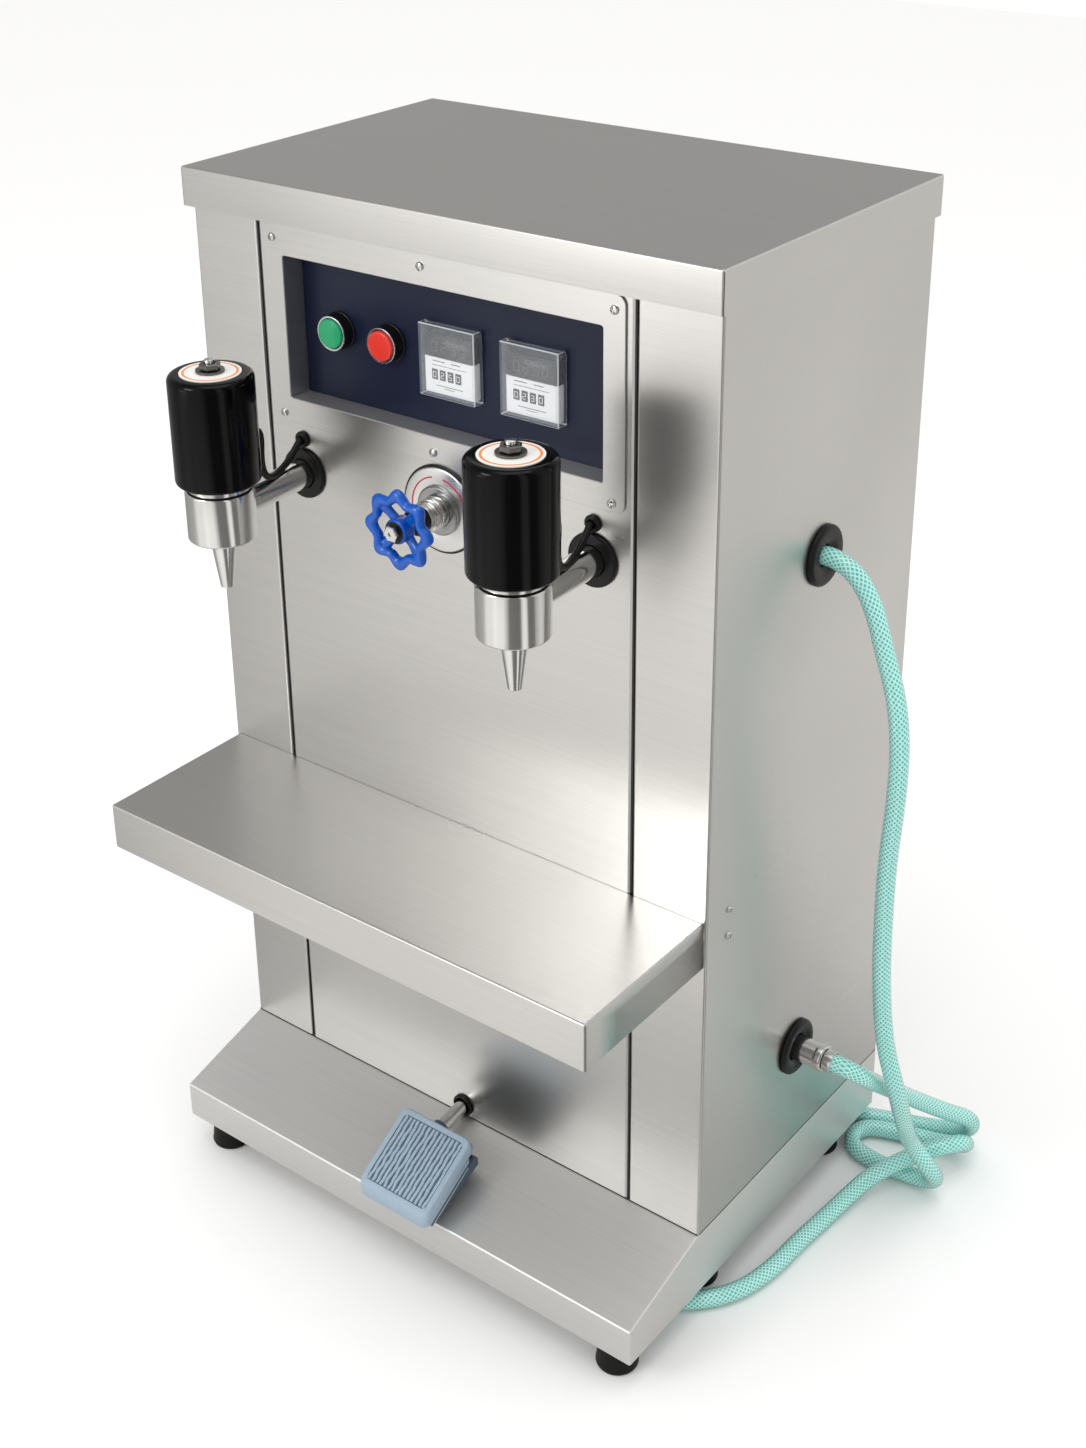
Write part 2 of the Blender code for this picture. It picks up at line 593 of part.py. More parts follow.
def nozzles():
    """Arm pipes, nozzle bodies with core tubes, coils, nuts, tips, plungers and leads."""
    for side, name in ((-1, "left"), (1, "right")):
        axis_x = side * NOZZLE_X
        centre = (axis_x, NOZZLE_Y, 0)
        bore = PLUNGER_RADIUS + TOUCH
        seat = NOZZLE_BODY_BOTTOM + TIP_SPIGOT
        stud = 0.004
        profile = [
            (TIP_NECK + TOUCH, NOZZLE_BODY_BOTTOM), (NOZZLE_BODY_RADIUS - 0.001, NOZZLE_BODY_BOTTOM),
            (NOZZLE_BODY_RADIUS, NOZZLE_BODY_BOTTOM + 0.001), (NOZZLE_BODY_RADIUS, NOZZLE_BODY_TOP - 0.006),
            (NOZZLE_BODY_RADIUS - 0.001, NOZZLE_BODY_TOP - 0.005),
            (NOZZLE_BODY_RADIUS - 0.003, NOZZLE_BODY_TOP - 0.005),
            (NOZZLE_BODY_RADIUS - 0.003, NOZZLE_BODY_TOP), (CORE_RADIUS, NOZZLE_BODY_TOP),
            (CORE_RADIUS, COIL_TOP - 0.004), (stud, COIL_TOP - 0.004),
            (stud, COIL_TOP + 0.0105), (0, COIL_TOP + 0.0105),
            (0, COIL_TOP - 0.012), (bore, COIL_TOP - 0.012),
            (bore, seat + TOUCH), (TIP_NECK + TOUCH, seat + TOUCH),
        ]
        bm = bmesh.new()
        turned(bm, closed_at_axis(profile), centre, sides=20)
        body = place(name + "_nozzle_body", bm, STEEL)
        port = bmesh.new()
        start = (axis_x, NOZZLE_Y + 0.0135, ARM_Z)
        rod(port, start, (axis_x, NOZZLE_Y + 0.05, ARM_Z), ARM_RADIUS + TOUCH, 16)
        combine(body, port, name + "_arm_socket")
        port = bmesh.new()
        port_z = ARM_Z - 0.004
        rod(port, (axis_x, NOZZLE_Y + 0.002, port_z), (axis_x, NOZZLE_Y + 0.02, port_z), 0.003, 12)
        combine(body, port, name + "_oil_port")

        bm = bmesh.new()
        arm = [
            (ARM_RADIUS - ARM_WALL, 0), (ARM_RADIUS, 0),
            (ARM_RADIUS, ARM_LENGTH), (ARM_RADIUS - ARM_WALL, ARM_LENGTH),
        ]
        turned(bm, arm, (axis_x, MANIFOLD_Y - PIPE_BLOCK / 2 + ARM_SOCKET, ARM_Z), (0, -1, 0), 16)
        place(name + "_arm", bm, STEEL)

        bm = bmesh.new()
        low = NOZZLE_BODY_TOP + TOUCH
        profile = [(CORE_RADIUS + TOUCH, low)]
        edge = COIL_RADIUS - COIL_EDGE
        for step in range(4):
            angle = math.radians(-90 + 90 * step / 3)
            profile.append((edge + COIL_EDGE * math.cos(angle), low + COIL_EDGE + COIL_EDGE * math.sin(angle)))
        for step in range(5):
            angle = math.radians(90 * step / 4)
            rise = COIL_TOP - COIL_EDGE + COIL_EDGE * math.sin(angle)
            profile.append((edge + COIL_EDGE * math.cos(angle), rise))
        inside = COIL_TOP - 0.0036
        profile += [(stud + TOUCH, COIL_TOP), (stud + TOUCH, inside), (CORE_RADIUS + TOUCH, inside)]
        turned(bm, profile, centre, sides=20)
        place(name + "_coil", bm, BLACK_PLASTIC)

        low = COIL_TOP + 0.0030
        bm = bmesh.new()
        nut = [(stud + 0.0012, low), (0.0072, low), (0.0072, low + 0.0055), (stud + 0.0012, low + 0.0055)]
        turned(bm, nut, centre, sides=6)
        place(name + "_coil_nut", bm, DARK_STEEL)

        bm = bmesh.new()
        tip = [
            (0.0030, NOZZLE_TIP_Z), (0.0043, NOZZLE_TIP_Z), (0.00975, NOZZLE_BODY_BOTTOM - TOUCH),
            (TIP_NECK, NOZZLE_BODY_BOTTOM - TOUCH), (TIP_NECK, seat), (0.0030, seat),
        ]
        turned(bm, tip, centre, sides=16)
        place(name + "_nozzle_tip", bm, STEEL)

        bm = bmesh.new()
        rest = seat + 2 * TOUCH
        plunger = [(0, rest), (PLUNGER_RADIUS - 0.001, rest), (PLUNGER_RADIUS, rest + 0.001)]
        plunger += [(PLUNGER_RADIUS, rest + 0.045), (0, rest + 0.045)]
        turned(bm, plunger, centre, sides=20)
        place(name + "_plunger", bm, DARK_STEEL, (axis_x, NOZZLE_Y, rest))
        coil_lead(name + "_coil_lead", axis_x)


def closed_at_axis(profile):
    """Moves the start of a closed profile so that its axis points come first and last."""
    on_axis = [index for index, point in enumerate(profile) if point[0] == 0]
    start = on_axis[-1]
    return profile[start:] + profile[:start]


def coil_lead(name, axis_x):
    """The short black lead that hangs from the panel grommet beside the arm and up to the coil."""
    route = [
        (0.000, 0.010, 0), (0.000, -0.0045, 0), (0.003, -0.013, -0.006),
        (0.008, -0.024, -0.016), (0.014, -0.038, -0.022), (0.019, -0.050, -0.019), (0.0235, -0.058, -0.008),
        (0.0258, -0.0615, 0.006), (0.0270, -0.0600, 0.018), (0.0263, -0.0608, 0.0270),
        (0.02440, -0.06330, 0.0300), (0.02068, -0.06815, 0.0300),
    ]
    points = [Vector((axis_x + x, FRONT + y, LEAD_Z + rise)) for x, y, rise in route]
    cord(name, [points[0], *smooth_route(points[1:-1], 0.008), points[-1]], LEAD_RADIUS, BLACK_RUBBER)


def cord(name, line, radius, finish):
    """A round cord along a line of points."""
    curve = bpy.data.curves.new(name, "CURVE")
    curve.dimensions = "3D"
    curve.bevel_depth = radius
    curve.bevel_resolution = 2
    curve.use_fill_caps = True
    strand = curve.splines.new("POLY")
    strand.points.add(len(line) - 1)
    for target, point in zip(strand.points, line):
        target.co = (*point, 1.0)
    curve.materials.append(finish)
    bpy.context.collection.objects.link(bpy.data.objects.new(name, curve))


def smooth_route(points, spacing):
    """Evenly spaced points on a centripetal curve through the route's own points."""
    points = [Vector(point) for point in points]
    ends = [2 * points[0] - points[1]] + points + [2 * points[-1] - points[-2]]
    dense = []
    for index in range(1, len(ends) - 2):
        p0, p1, p2, p3 = ends[index - 1:index + 3]
        t1 = (p1 - p0).length ** 0.5
        t2 = t1 + (p2 - p1).length ** 0.5
        t3 = t2 + (p3 - p2).length ** 0.5
        for step in range(12):
            t = t1 + (t2 - t1) * step / 12
            a1 = p0 * (t1 - t) / t1 + p1 * t / t1
            a2 = p1 * (t2 - t) / (t2 - t1) + p2 * (t - t1) / (t2 - t1)
            a3 = p2 * (t3 - t) / (t3 - t2) + p3 * (t - t2) / (t3 - t2)
            b1 = a1 * (t2 - t) / t2 + a2 * t / t2
            b2 = a2 * (t3 - t) / (t3 - t1) + a3 * (t - t1) / (t3 - t1)
            dense.append(b1 * (t2 - t) / (t2 - t1) + b2 * (t - t1) / (t2 - t1))
    dense.append(points[-1])
    travelled = [0.0]
    for near, far in zip(dense, dense[1:]):
        travelled.append(travelled[-1] + (far - near).length)
    count = max(2, round(travelled[-1] / spacing))
    line = []
    index = 0
    for step in range(count + 1):
        target = travelled[-1] * step / count
        while index < len(dense) - 2 and travelled[index + 1] < target:
            index += 1
        share = (target - travelled[index]) / (travelled[index + 1] - travelled[index])
        line.append(dense[index].lerp(dense[index + 1], share))
    return line


def valve():
    """The flow valve: dial, gland nut, stem, cast handwheel, and the body that reaches through the panel."""
    toward = (0, -1, 0)
    centre = (0, FRONT, VALVE_Z)
    bm = bmesh.new()
    dial = [
        (BONNET_RADIUS + TOUCH, TOUCH), (DIAL_RADIUS, TOUCH),
        (DIAL_RADIUS, 0.0024), (DIAL_RADIUS - 0.001, 0.0032),
        (0.0205, 0.0032), (0.0185, 0.0058), (BONNET_RADIUS + TOUCH, 0.0058),
    ]
    turned(bm, dial, centre, toward, 28)
    place("valve_dial", bm, STEEL)
    running = STEM_RADIUS + TOUCH
    bm = bmesh.new()
    gland = [
        (running, 0.0253), (0.0105, 0.0253), (0.0115, 0.027),
        (0.0115, 0.033), (0.0085, 0.0345), (running, 0.0345),
    ]
    turned(bm, gland, centre, toward, 16)
    place("gland_nut", bm, BLACK_PLASTIC)
    hub_back = WHEEL_STAND - 0.0085
    hub_front = WHEEL_STAND + 0.0055
    bm = bmesh.new()
    stem = [
        (0, -0.034), (STEM_RADIUS, -0.034), (STEM_RADIUS, hub_front + 0.003), (0, hub_front + 0.003),
    ]
    turned(bm, stem, centre, toward, 16)
    stem_part = place("valve_stem", bm, DARK_STEEL, centre)
    head = bmesh.new()
    low = hub_front + TOUCH
    turned(head, [(0, low), (0.0068, low), (0.0068, low + 0.0048), (0, low + 0.0048)], centre, toward, 6)
    combine(stem_part, head, "stem_head", "UNION")

    bm = bmesh.new()
    sections = []
    around = WHEEL_LOBES * 6
    middle = WHEEL_RADIUS - WHEEL_RIM_RADIUS - WHEEL_LOBE_HEIGHT
    for index in range(around):
        angle = math.tau * index / around
        radius = middle + WHEEL_LOBE_HEIGHT * math.cos(WHEEL_LOBES * angle)
        ring = []
        for corner in range(6):
            turn = math.tau * (corner + 0.5) / 6
            out = radius + WHEEL_RIM_RADIUS * math.cos(turn)
            depth = WHEEL_STAND + WHEEL_RIM_RADIUS * math.sin(turn)
            ring.append(bm.verts.new((out * math.cos(angle), FRONT - depth, VALVE_Z + out * math.sin(angle))))
        sections.append(ring)
    for near, far in zip(sections, sections[1:] + sections[:1]):
        for corner in range(6):
            after = (corner + 1) % 6
            bm.faces.new((near[corner], near[after], far[after], far[corner]))
    wheel = place("handwheel", bm, BLUE, centre)
    hub = bmesh.new()
    profile = [
        (running, hub_back), (HUB_RADIUS - 0.001, hub_back), (HUB_RADIUS, hub_back + 0.001),
        (HUB_RADIUS, hub_front - 0.001), (HUB_RADIUS - 0.001, hub_front), (running, hub_front),
    ]
    turned(hub, profile, centre, toward, 16)
    combine(wheel, hub, "wheel_hub", "UNION")
    spokes = bmesh.new()
    for index in range(4):
        angle = math.tau * (index + 0.5) / 4
        reach = Vector((math.cos(angle), 0, math.sin(angle)))
        start = Vector((0, FRONT - WHEEL_STAND + WHEEL_DISH, VALVE_Z)) + reach * (STEM_RADIUS + 0.0022)
        end = Vector((0, FRONT - WHEEL_STAND, VALVE_Z)) + reach * middle
        rod(spokes, start, end, 0.0036, 8, 0.0030)
    combine(wheel, spokes, "wheel_spokes", "UNION")

    bm = bmesh.new()
    back = FRONT + VALVE_BACK
    half = PIPE_BLOCK / 2 + 0.002
    box(bm, (-half, back, VALVE_Z - half), (half, MANIFOLD_Y + PIPE_BLOCK / 2 + 0.010, VALVE_Z + half))
    body = place("valve_body", bm, BRASS)
    neck = bmesh.new()
    rod(neck, (0, FRONT + SHEET + TOUCH, VALVE_Z), (0, back + 0.002, VALVE_Z), VALVE_NECK_RADIUS, 24)
    combine(body, neck, "valve_neck", "UNION")
    bonnet = bmesh.new()
    profile = [
        (0, -0.010), (BONNET_RADIUS, -0.010), (BONNET_RADIUS, 0.019),
        (0.0105, 0.020), (0.0105, 0.025), (0, 0.025),
    ]
    turned(bonnet, profile, centre, toward, 20)
    combine(body, bonnet, "valve_bonnet", "UNION")
    chamber = bmesh.new()
    rod(chamber, (0, FRONT - 0.03, VALVE_Z), (0, FRONT + 0.0345, VALVE_Z), running, 20)
    combine(body, chamber, "valve_chamber")
    passage = bmesh.new()
    rod(passage, (0, FRONT + 0.033, VALVE_Z), (0, MANIFOLD_Y + 0.05, VALVE_Z), 0.0030, 16)
    combine(body, passage, "valve_passage")
    bores = bmesh.new()
    rod(bores, (-0.05, MANIFOLD_Y, ARM_Z), (0.05, MANIFOLD_Y, ARM_Z), PIPE_RADIUS + TOUCH, 20)
    combine(body, bores, "manifold_bore")


def grommets():
    """Rubber rings where the arms with their leads, and the pedal pipe, pass through the front panel."""
    for side, name in ((-1, "left_arm_grommet"), (1, "right_arm_grommet")):
        bm = bmesh.new()
        centre = (side * NOZZLE_X, FRONT, ARM_Z)
        grommet(bm, centre, (0, -1, 0), ARM_GROMMET_RADIUS, ARM_RADIUS + 0.0025, ARM_RADIUS + TOUCH, 0.0035)
        ring = place(name, bm, BLACK_RUBBER)
        small = bmesh.new()
        centre = (side * NOZZLE_X, FRONT, LEAD_Z)
        neck = LEAD_RADIUS + 0.0018
        grommet(small, centre, (0, -1, 0), LEAD_GROMMET_RADIUS, neck, LEAD_RADIUS + TOUCH, 0.0035)
        combine(ring, small, name + "_lead_ring", "UNION")
        web = bmesh.new()
        web_y = FRONT + SHEET + TOUCH
        low = (side * NOZZLE_X - 0.004, web_y + 0.0002, ARM_Z + ARM_RADIUS + 0.001)
        box(web, low, (side * NOZZLE_X + 0.004, web_y + 0.0018, LEAD_Z - LEAD_RADIUS - 0.0008))
        combine(ring, web, name + "_web", "UNION")
    bm = bmesh.new()
    grommet(
        bm, (PEDAL_ARM_X, FRONT, PEDAL_ARM_Z), (0, -1, 0), PEDAL_ARM_RADIUS + 0.0038, PEDAL_ARM_RADIUS + 0.0024,
        PEDAL_ARM_RADIUS + 0.0011, 0.003,
    )
    place("pedal_grommet", bm, BLACK_RUBBER)


def grommet(bm, centre, axis, outer, neck, inner, stand):
    """A flanged rubber ring with a rounded face, a neck through the sheet and a lip behind it."""
    back = -SHEET - TOUCH
    profile = [
        (inner, stand - 0.0008), (inner + 0.0008, stand), (outer - 0.0015, stand), (outer, stand - 0.0012),
        (outer, TOUCH), (neck, TOUCH), (neck, back), (neck + 0.002, back), (neck + 0.001, back - 0.002),
        (inner, back - 0.002),
    ]
    turned(bm, profile, centre, axis, 20 if outer > 0.02 else 12)


def pedal():
    """The foot pedal above the apron: its pipe, tray housing, and hinged pad with its pivot pin."""
    half = PEDAL_WIDTH / 2
    pivot = Vector((PEDAL_X, FRONT - PEDAL_PIVOT, PEDAL_PIVOT_Z))
    back = Vector((FRONT - PEDAL_BACK, PEDAL_BACK_Z))
    nose = Vector((FRONT - PEDAL_NOSE, PEDAL_NOSE_Z))
    along = (back - nose).normalized()
    down = Vector((along.y, -along.x)) * PEDAL_SLAB
    lip = nose + Vector((0.002, -PEDAL_LIP))
    outline = [
        back, nose + 0.0025 * along, nose - Vector((0.0004, 0.0022)), lip, lip + Vector((0.0045, 0)),
        nose + down + 0.004 * along, back + down - 0.001 * along, back + down * 0.9,
    ]
    bm = bmesh.new()
    prism(bm, outline, "X", PEDAL_X - half, PEDAL_X + half)
    pad = place("pedal_pad", bm, PEDAL_BLUE, pivot)
    cheeks = bmesh.new()
    lower = [
        back + 0.8 * down + Vector((0.001, 0)), back + down + Vector((-0.001, -0.013)),
        Vector((pivot.y + 0.002, pivot.z - 0.0050)), Vector((pivot.y - 0.004, pivot.z - 0.0045)),
        lip + Vector((0.0006, 0.0012)), nose + 0.5 * down,
    ]
    for side in (-1, 1):
        low_x, high_x = sorted((PEDAL_X + side * (half - PEDAL_CHEEK), PEDAL_X + side * (half - 0.0004)))
        prism(cheeks, lower, "X", low_x, high_x)
    combine(pad, cheeks, "pad_cheeks", "UNION")
    pin = bmesh.new()
    rod(pin, (PEDAL_X - half + 0.001, *pivot.yz), (PEDAL_X + half - 0.001, *pivot.yz), PIVOT_RADIUS, 12)
    combine(pad, pin, "pad_pin", "UNION")

    inner = half - PEDAL_CHEEK - 0.0006
    rear = Vector((FRONT - HOUSING_BACK, HOUSING_BACK_Z))
    front = Vector((pivot.y - 0.0005, pivot.z - 0.0092))
    outline = [rear, front]
    for angle in (225, 195, 160, 125, 90):
        turn = math.radians(angle)
        outline.append(pivot.yz + 0.005 * Vector((math.cos(turn), math.sin(turn))))
    outline += [Vector((pivot.y + 0.007, pivot.z + 0.0035)), rear + Vector((-0.004, HOUSING_HEIGHT + 0.001))]
    outline.append(rear + Vector((0, HOUSING_HEIGHT - 0.0015)))
    bm = bmesh.new()
    prism(bm, outline, "X", PEDAL_X - inner, PEDAL_X + inner)
    tray = place("pedal_housing", bm, BLACK_PLASTIC)
    fall = (rear.y - front.y) / (rear.x - front.x)
    near = pivot.y + 0.009
    far = rear.x - 0.0035
    low = [front.y + 0.0025 + (y - front.x) * fall for y in (near, far)]
    hollow = bmesh.new()
    prism(
        hollow, [(near, low[0]), (far, low[1]), (far, low[1] + 0.03), (near, low[0] + 0.03)], "X",
        PEDAL_X - inner + 0.003, PEDAL_X + inner - 0.003,
    )
    combine(tray, hollow, "tray_hollow")
    switch = bmesh.new()
    switch_low = (PEDAL_X - 0.010, rear.x - 0.025, low[0] + 0.006)
    box(switch, switch_low, (PEDAL_X + 0.010, rear.x - 0.013, rear.y + 0.005))
    combine(tray, switch, "switch_block", "UNION")
    toward = Vector((0, 1, PEDAL_ARM_DROP)).normalized()
    panel = Vector((PEDAL_ARM_X, FRONT, PEDAL_ARM_Z))
    boss = bmesh.new()
    boss_front = panel - toward * (HOUSING_BACK + 0.0055)
    rod(boss, boss_front, panel - toward * (HOUSING_BACK - 0.010), PEDAL_ARM_RADIUS + 0.0020, 20)
    combine(tray, boss, "arm_boss", "UNION")
    socket = bmesh.new()
    rod(socket, boss_front + 0.003 * toward, panel, PEDAL_ARM_RADIUS + TOUCH, 16)
    combine(tray, socket, "arm_socket_bore")
    bore = bmesh.new()
    rod(bore, (PEDAL_X - 0.06, *pivot.yz), (PEDAL_X + 0.06, *pivot.yz), PIVOT_RADIUS + TOUCH, 12)
    combine(tray, bore, "tray_pin_bore")

    bm = bmesh.new()
    wall = PEDAL_ARM_RADIUS - 0.001
    length = HOUSING_BACK + 0.0022 + 0.022
    pipe = [(wall, 0), (PEDAL_ARM_RADIUS, 0), (PEDAL_ARM_RADIUS, length), (wall, length)]
    turned(bm, pipe, boss_front + (0.003 + TOUCH) * toward, toward, 16)
    place("pedal_arm", bm, STEEL)


def gear_outline(centre_x, centre_z, phase):
    """Involute spur gear outline in the XZ plane."""
    pitch = GEAR_MODULE * GEAR_TEETH / 2
    base = pitch * math.cos(math.radians(20))
    tip = pitch + 0.8 * GEAR_MODULE
    root = pitch - 1.05 * GEAR_MODULE

    def involute(radius):
        roll = math.sqrt(max(0.0, (radius / base) ** 2 - 1))
        return roll - math.atan(roll)

    half_tooth = math.pi / (2 * GEAR_TEETH) - GEAR_BACKLASH / (2 * pitch)
    points = []
    radii = [base, (base + tip) / 2, tip]
    for tooth in range(GEAR_TEETH):
        middle = phase + math.tau * tooth / GEAR_TEETH
        flank = [(radius, half_tooth + involute(pitch) - involute(radius)) for radius in radii]
        flank.insert(0, (root, flank[0][1]))
        for radius, spread in flank:
            points.append((radius, middle - spread))
        for radius, spread in reversed(flank):
            points.append((radius, middle + spread))
    return [(centre_x + radius * math.cos(turn), centre_z + radius * math.sin(turn)) for radius, turn in points]


def pump():
    """Gear pump, the motor that drives it, and the pipes between hose, pump, valve and arms."""
    pitch_gap = GEAR_MODULE * GEAR_TEETH
    drive_z = SPIGOT_Z - pitch_gap / 2
    driven_z = SPIGOT_Z + pitch_gap / 2
    near = SPIGOT_Y - GEAR_WIDTH / 2
    far = SPIGOT_Y + GEAR_WIDTH / 2
    shaft = 0.006
    tip = pitch_gap / 2 + 0.8 * GEAR_MODULE + TOUCH
    wall = 0.009
    half = tip + wall

    bm = bmesh.new()
    outline = rounded_rectangle(-half, half, drive_z - half, driven_z + half, half * 0.9, 4)
    prism(bm, outline, "Y", near - 0.010, far + TOUCH)
    body = place("pump_body", bm, MOTOR_GREY)
    foot = bmesh.new()
    low_z = BASE_TOP + TOUCH
    box(foot, (-half * 0.7, near - 0.0098, low_z), (half * 0.7, near - 0.0015, drive_z))
    combine(body, foot, "pump_leg", "UNION")
    foot = bmesh.new()
    box(foot, (-half, near - 0.030, low_z), (half, far - 0.004, low_z + 0.007))
    combine(body, foot, "pump_foot", "UNION")
    for index, centre_z in enumerate((drive_z, driven_z)):
        cavity = bmesh.new()
        rod(cavity, (0, near - TOUCH, centre_z), (0, far + 0.02, centre_z), tip, 28)
        combine(body, cavity, f"gear_cavity_{index}")
    ports = bmesh.new()
    rod(ports, (-0.06, SPIGOT_Y, SPIGOT_Z), (0.06, SPIGOT_Y, SPIGOT_Z), 0.006, 16)
    combine(body, ports, "pump_ports")
    sockets = bmesh.new()
    for side in (-1, 1):
        start = (side * (half - 0.006), SPIGOT_Y, SPIGOT_Z)
        rod(sockets, start, (side * (half + 0.02), SPIGOT_Y, SPIGOT_Z), PIPE_RADIUS + TOUCH, 16)
    combine(body, sockets, "pipe_sockets")
    pin_bore = bmesh.new()
    rod(pin_bore, (0, near - 0.007, drive_z), (0, near + 0.01, drive_z), shaft + 0.0001, 20)
    combine(body, pin_bore, "shaft_bearing")

    bm = bmesh.new()
    prism(bm, outline, "Y", far + 2 * TOUCH, far + 0.010)
    cover = place("pump_cover", bm, MOTOR_GREY)
    bore = bmesh.new()
    rod(bore, (0, far - 0.01, drive_z), (0, far + 0.02, drive_z), shaft + 0.0001, 20)
    combine(cover, bore, "cover_bearing")
    idler = bmesh.new()
    rod(idler, (0, near + 0.001, driven_z), (0, far + 0.005, driven_z), shaft, 20)
    combine(cover, idler, "idler_pin", "UNION")

    motor_near = far + 0.022
    bm = bmesh.new()
    prism(bm, gear_outline(0, drive_z, math.pi / 2), "Y", near, far)
    drive = place("drive_gear", bm, DARK_STEEL, (0, SPIGOT_Y, drive_z))
    axle = bmesh.new()
    rod(axle, (0, near - 0.006, drive_z), (0, motor_near + 0.020, drive_z), shaft, 20)
    combine(drive, axle, "drive_shaft", "UNION")

    bm = bmesh.new()
    prism(bm, gear_outline(0, driven_z, math.pi / 2 + math.pi / GEAR_TEETH), "Y", near, far)
    driven = place("driven_gear", bm, DARK_STEEL, (0, SPIGOT_Y, driven_z))
    bore = bmesh.new()
    rod(bore, (0, near - 0.01, driven_z), (0, far + 0.01, driven_z), shaft + 0.0001, 20)
    combine(driven, bore, "idler_bore")

    bm = bmesh.new()
    ribs = 16
    profile = []
    for index in range(ribs * 4):
        radius = MOTOR_RADIUS if index % 4 < 2 else MOTOR_RADIUS - 0.004
        angle = math.tau * (index + 0.5) / (ribs * 4)
        profile.append((radius * math.cos(angle), drive_z + radius * math.sin(angle)))
    prism(bm, profile, "Y", motor_near, motor_near + MOTOR_LENGTH)
    motor = place("motor", bm, MOTOR_GREY)
    foot = bmesh.new()
    low = (-0.045, motor_near + 0.010, CABINET_BOTTOM - SEAM + TOUCH)
    box(foot, low, (0.045, motor_near + MOTOR_LENGTH - 0.014, low[2] + 0.006))
    combine(motor, foot, "motor_foot", "UNION")
    legs = bmesh.new()
    for side in (-1, 1):
        low_x, high_x = sorted((side * 0.022, side * 0.034))
        leg_low = (low_x, motor_near + 0.014, low[2] + 0.003)
        box(legs, leg_low, (high_x, motor_near + MOTOR_LENGTH - 0.018, drive_z - 0.030))
    combine(motor, legs, "motor_legs", "UNION")
    shaft_bore = bmesh.new()
    rod(shaft_bore, (0, motor_near - 0.01, drive_z), (0, motor_near + 0.0205, drive_z), shaft + 0.0001, 20)
    combine(motor, shaft_bore, "motor_bore")

    bm = bmesh.new()
    start = half - 0.006 + TOUCH
    end = SIDE + SPIGOT_REACH
    bore = PIPE_RADIUS - 0.001
    pipe = [
        (bore, start), (PIPE_RADIUS, start), (PIPE_RADIUS, SIDE - 0.015), (SPIGOT_RADIUS, SIDE - 0.013),
        (SPIGOT_RADIUS, end - 0.006), (SPIGOT_RADIUS + 0.0008, end - 0.0055),
        (SPIGOT_RADIUS + 0.0008, end - 0.001),
        (SPIGOT_RADIUS, end), (bore, end),
    ]
    turned(bm, pipe, (0, SPIGOT_Y, SPIGOT_Z), (1, 0, 0), 20)
    place("suction_pipe", bm, STEEL)
    pipes(start)


def pipes(port_end):
    """The brazed delivery pipework from the pump's outlet up to both arms, and the return pipe to the hose."""
    left = -port_end - 0.030
    bm = bmesh.new()
    rod(bm, (-port_end, SPIGOT_Y, SPIGOT_Z), (left - PIPE_RADIUS, SPIGOT_Y, SPIGOT_Z), PIPE_RADIUS, 16)
    manifold = place("delivery_manifold", bm, STEEL)
    tall = bmesh.new()
    rod(tall, (left, SPIGOT_Y, SPIGOT_Z - PIPE_RADIUS), (left, SPIGOT_Y, ARM_Z + PIPE_RADIUS), PIPE_RADIUS, 16)
    combine(manifold, tall, "riser_column", "UNION")
    forward = bmesh.new()
    rod(forward, (left, SPIGOT_Y, ARM_Z), (left, MANIFOLD_Y, ARM_Z), PIPE_RADIUS * 0.9, 16)
    combine(manifold, forward, "riser_branch", "UNION")
    across = bmesh.new()
    rod(across, (-NOZZLE_X, MANIFOLD_Y, ARM_Z), (NOZZLE_X, MANIFOLD_Y, ARM_Z), PIPE_RADIUS, 16)
    combine(manifold, across, "manifold_pipe", "UNION")
    half = PIPE_BLOCK / 2
    blocks = bmesh.new()
    for side in (-1, 1):
        low = (side * NOZZLE_X - half, MANIFOLD_Y - half, ARM_Z - half)
        box(blocks, low, (side * NOZZLE_X + half, MANIFOLD_Y + half, ARM_Z + half))
    combine(manifold, blocks, "manifold_tees", "UNION")
    sockets = bmesh.new()
    for side in (-1, 1):
        start = (side * NOZZLE_X, MANIFOLD_Y - half + ARM_SOCKET + TOUCH, ARM_Z)
        rod(sockets, start, (side * NOZZLE_X, MANIFOLD_Y - half - 0.01, ARM_Z), ARM_RADIUS + TOUCH, 16)
    combine(manifold, sockets, "manifold_sockets")

    radius = PIPE_RADIUS * 0.8
    bm = bmesh.new()
    start = (RETURN_X - radius, HOSE_Y, HOSE_TOP_Z)
    rod(bm, start, (HOSE_ROUTE[0][0] - TOUCH, HOSE_Y, HOSE_TOP_Z), radius, 16)
    back_pipe = place("return_pipe", bm, STEEL)
    run = bmesh.new()
    end_y = MANIFOLD_Y + half + 0.010 + TOUCH
    rod(run, (RETURN_X, HOSE_Y, HOSE_TOP_Z - radius), (RETURN_X, HOSE_Y, VALVE_Z + radius), radius * 0.9, 16)
    combine(back_pipe, run, "return_drop", "UNION")
    run = bmesh.new()
    rod(run, (RETURN_X, HOSE_Y, VALVE_Z), (RETURN_X, end_y, VALVE_Z), radius, 16)
    combine(back_pipe, run, "return_run", "UNION")


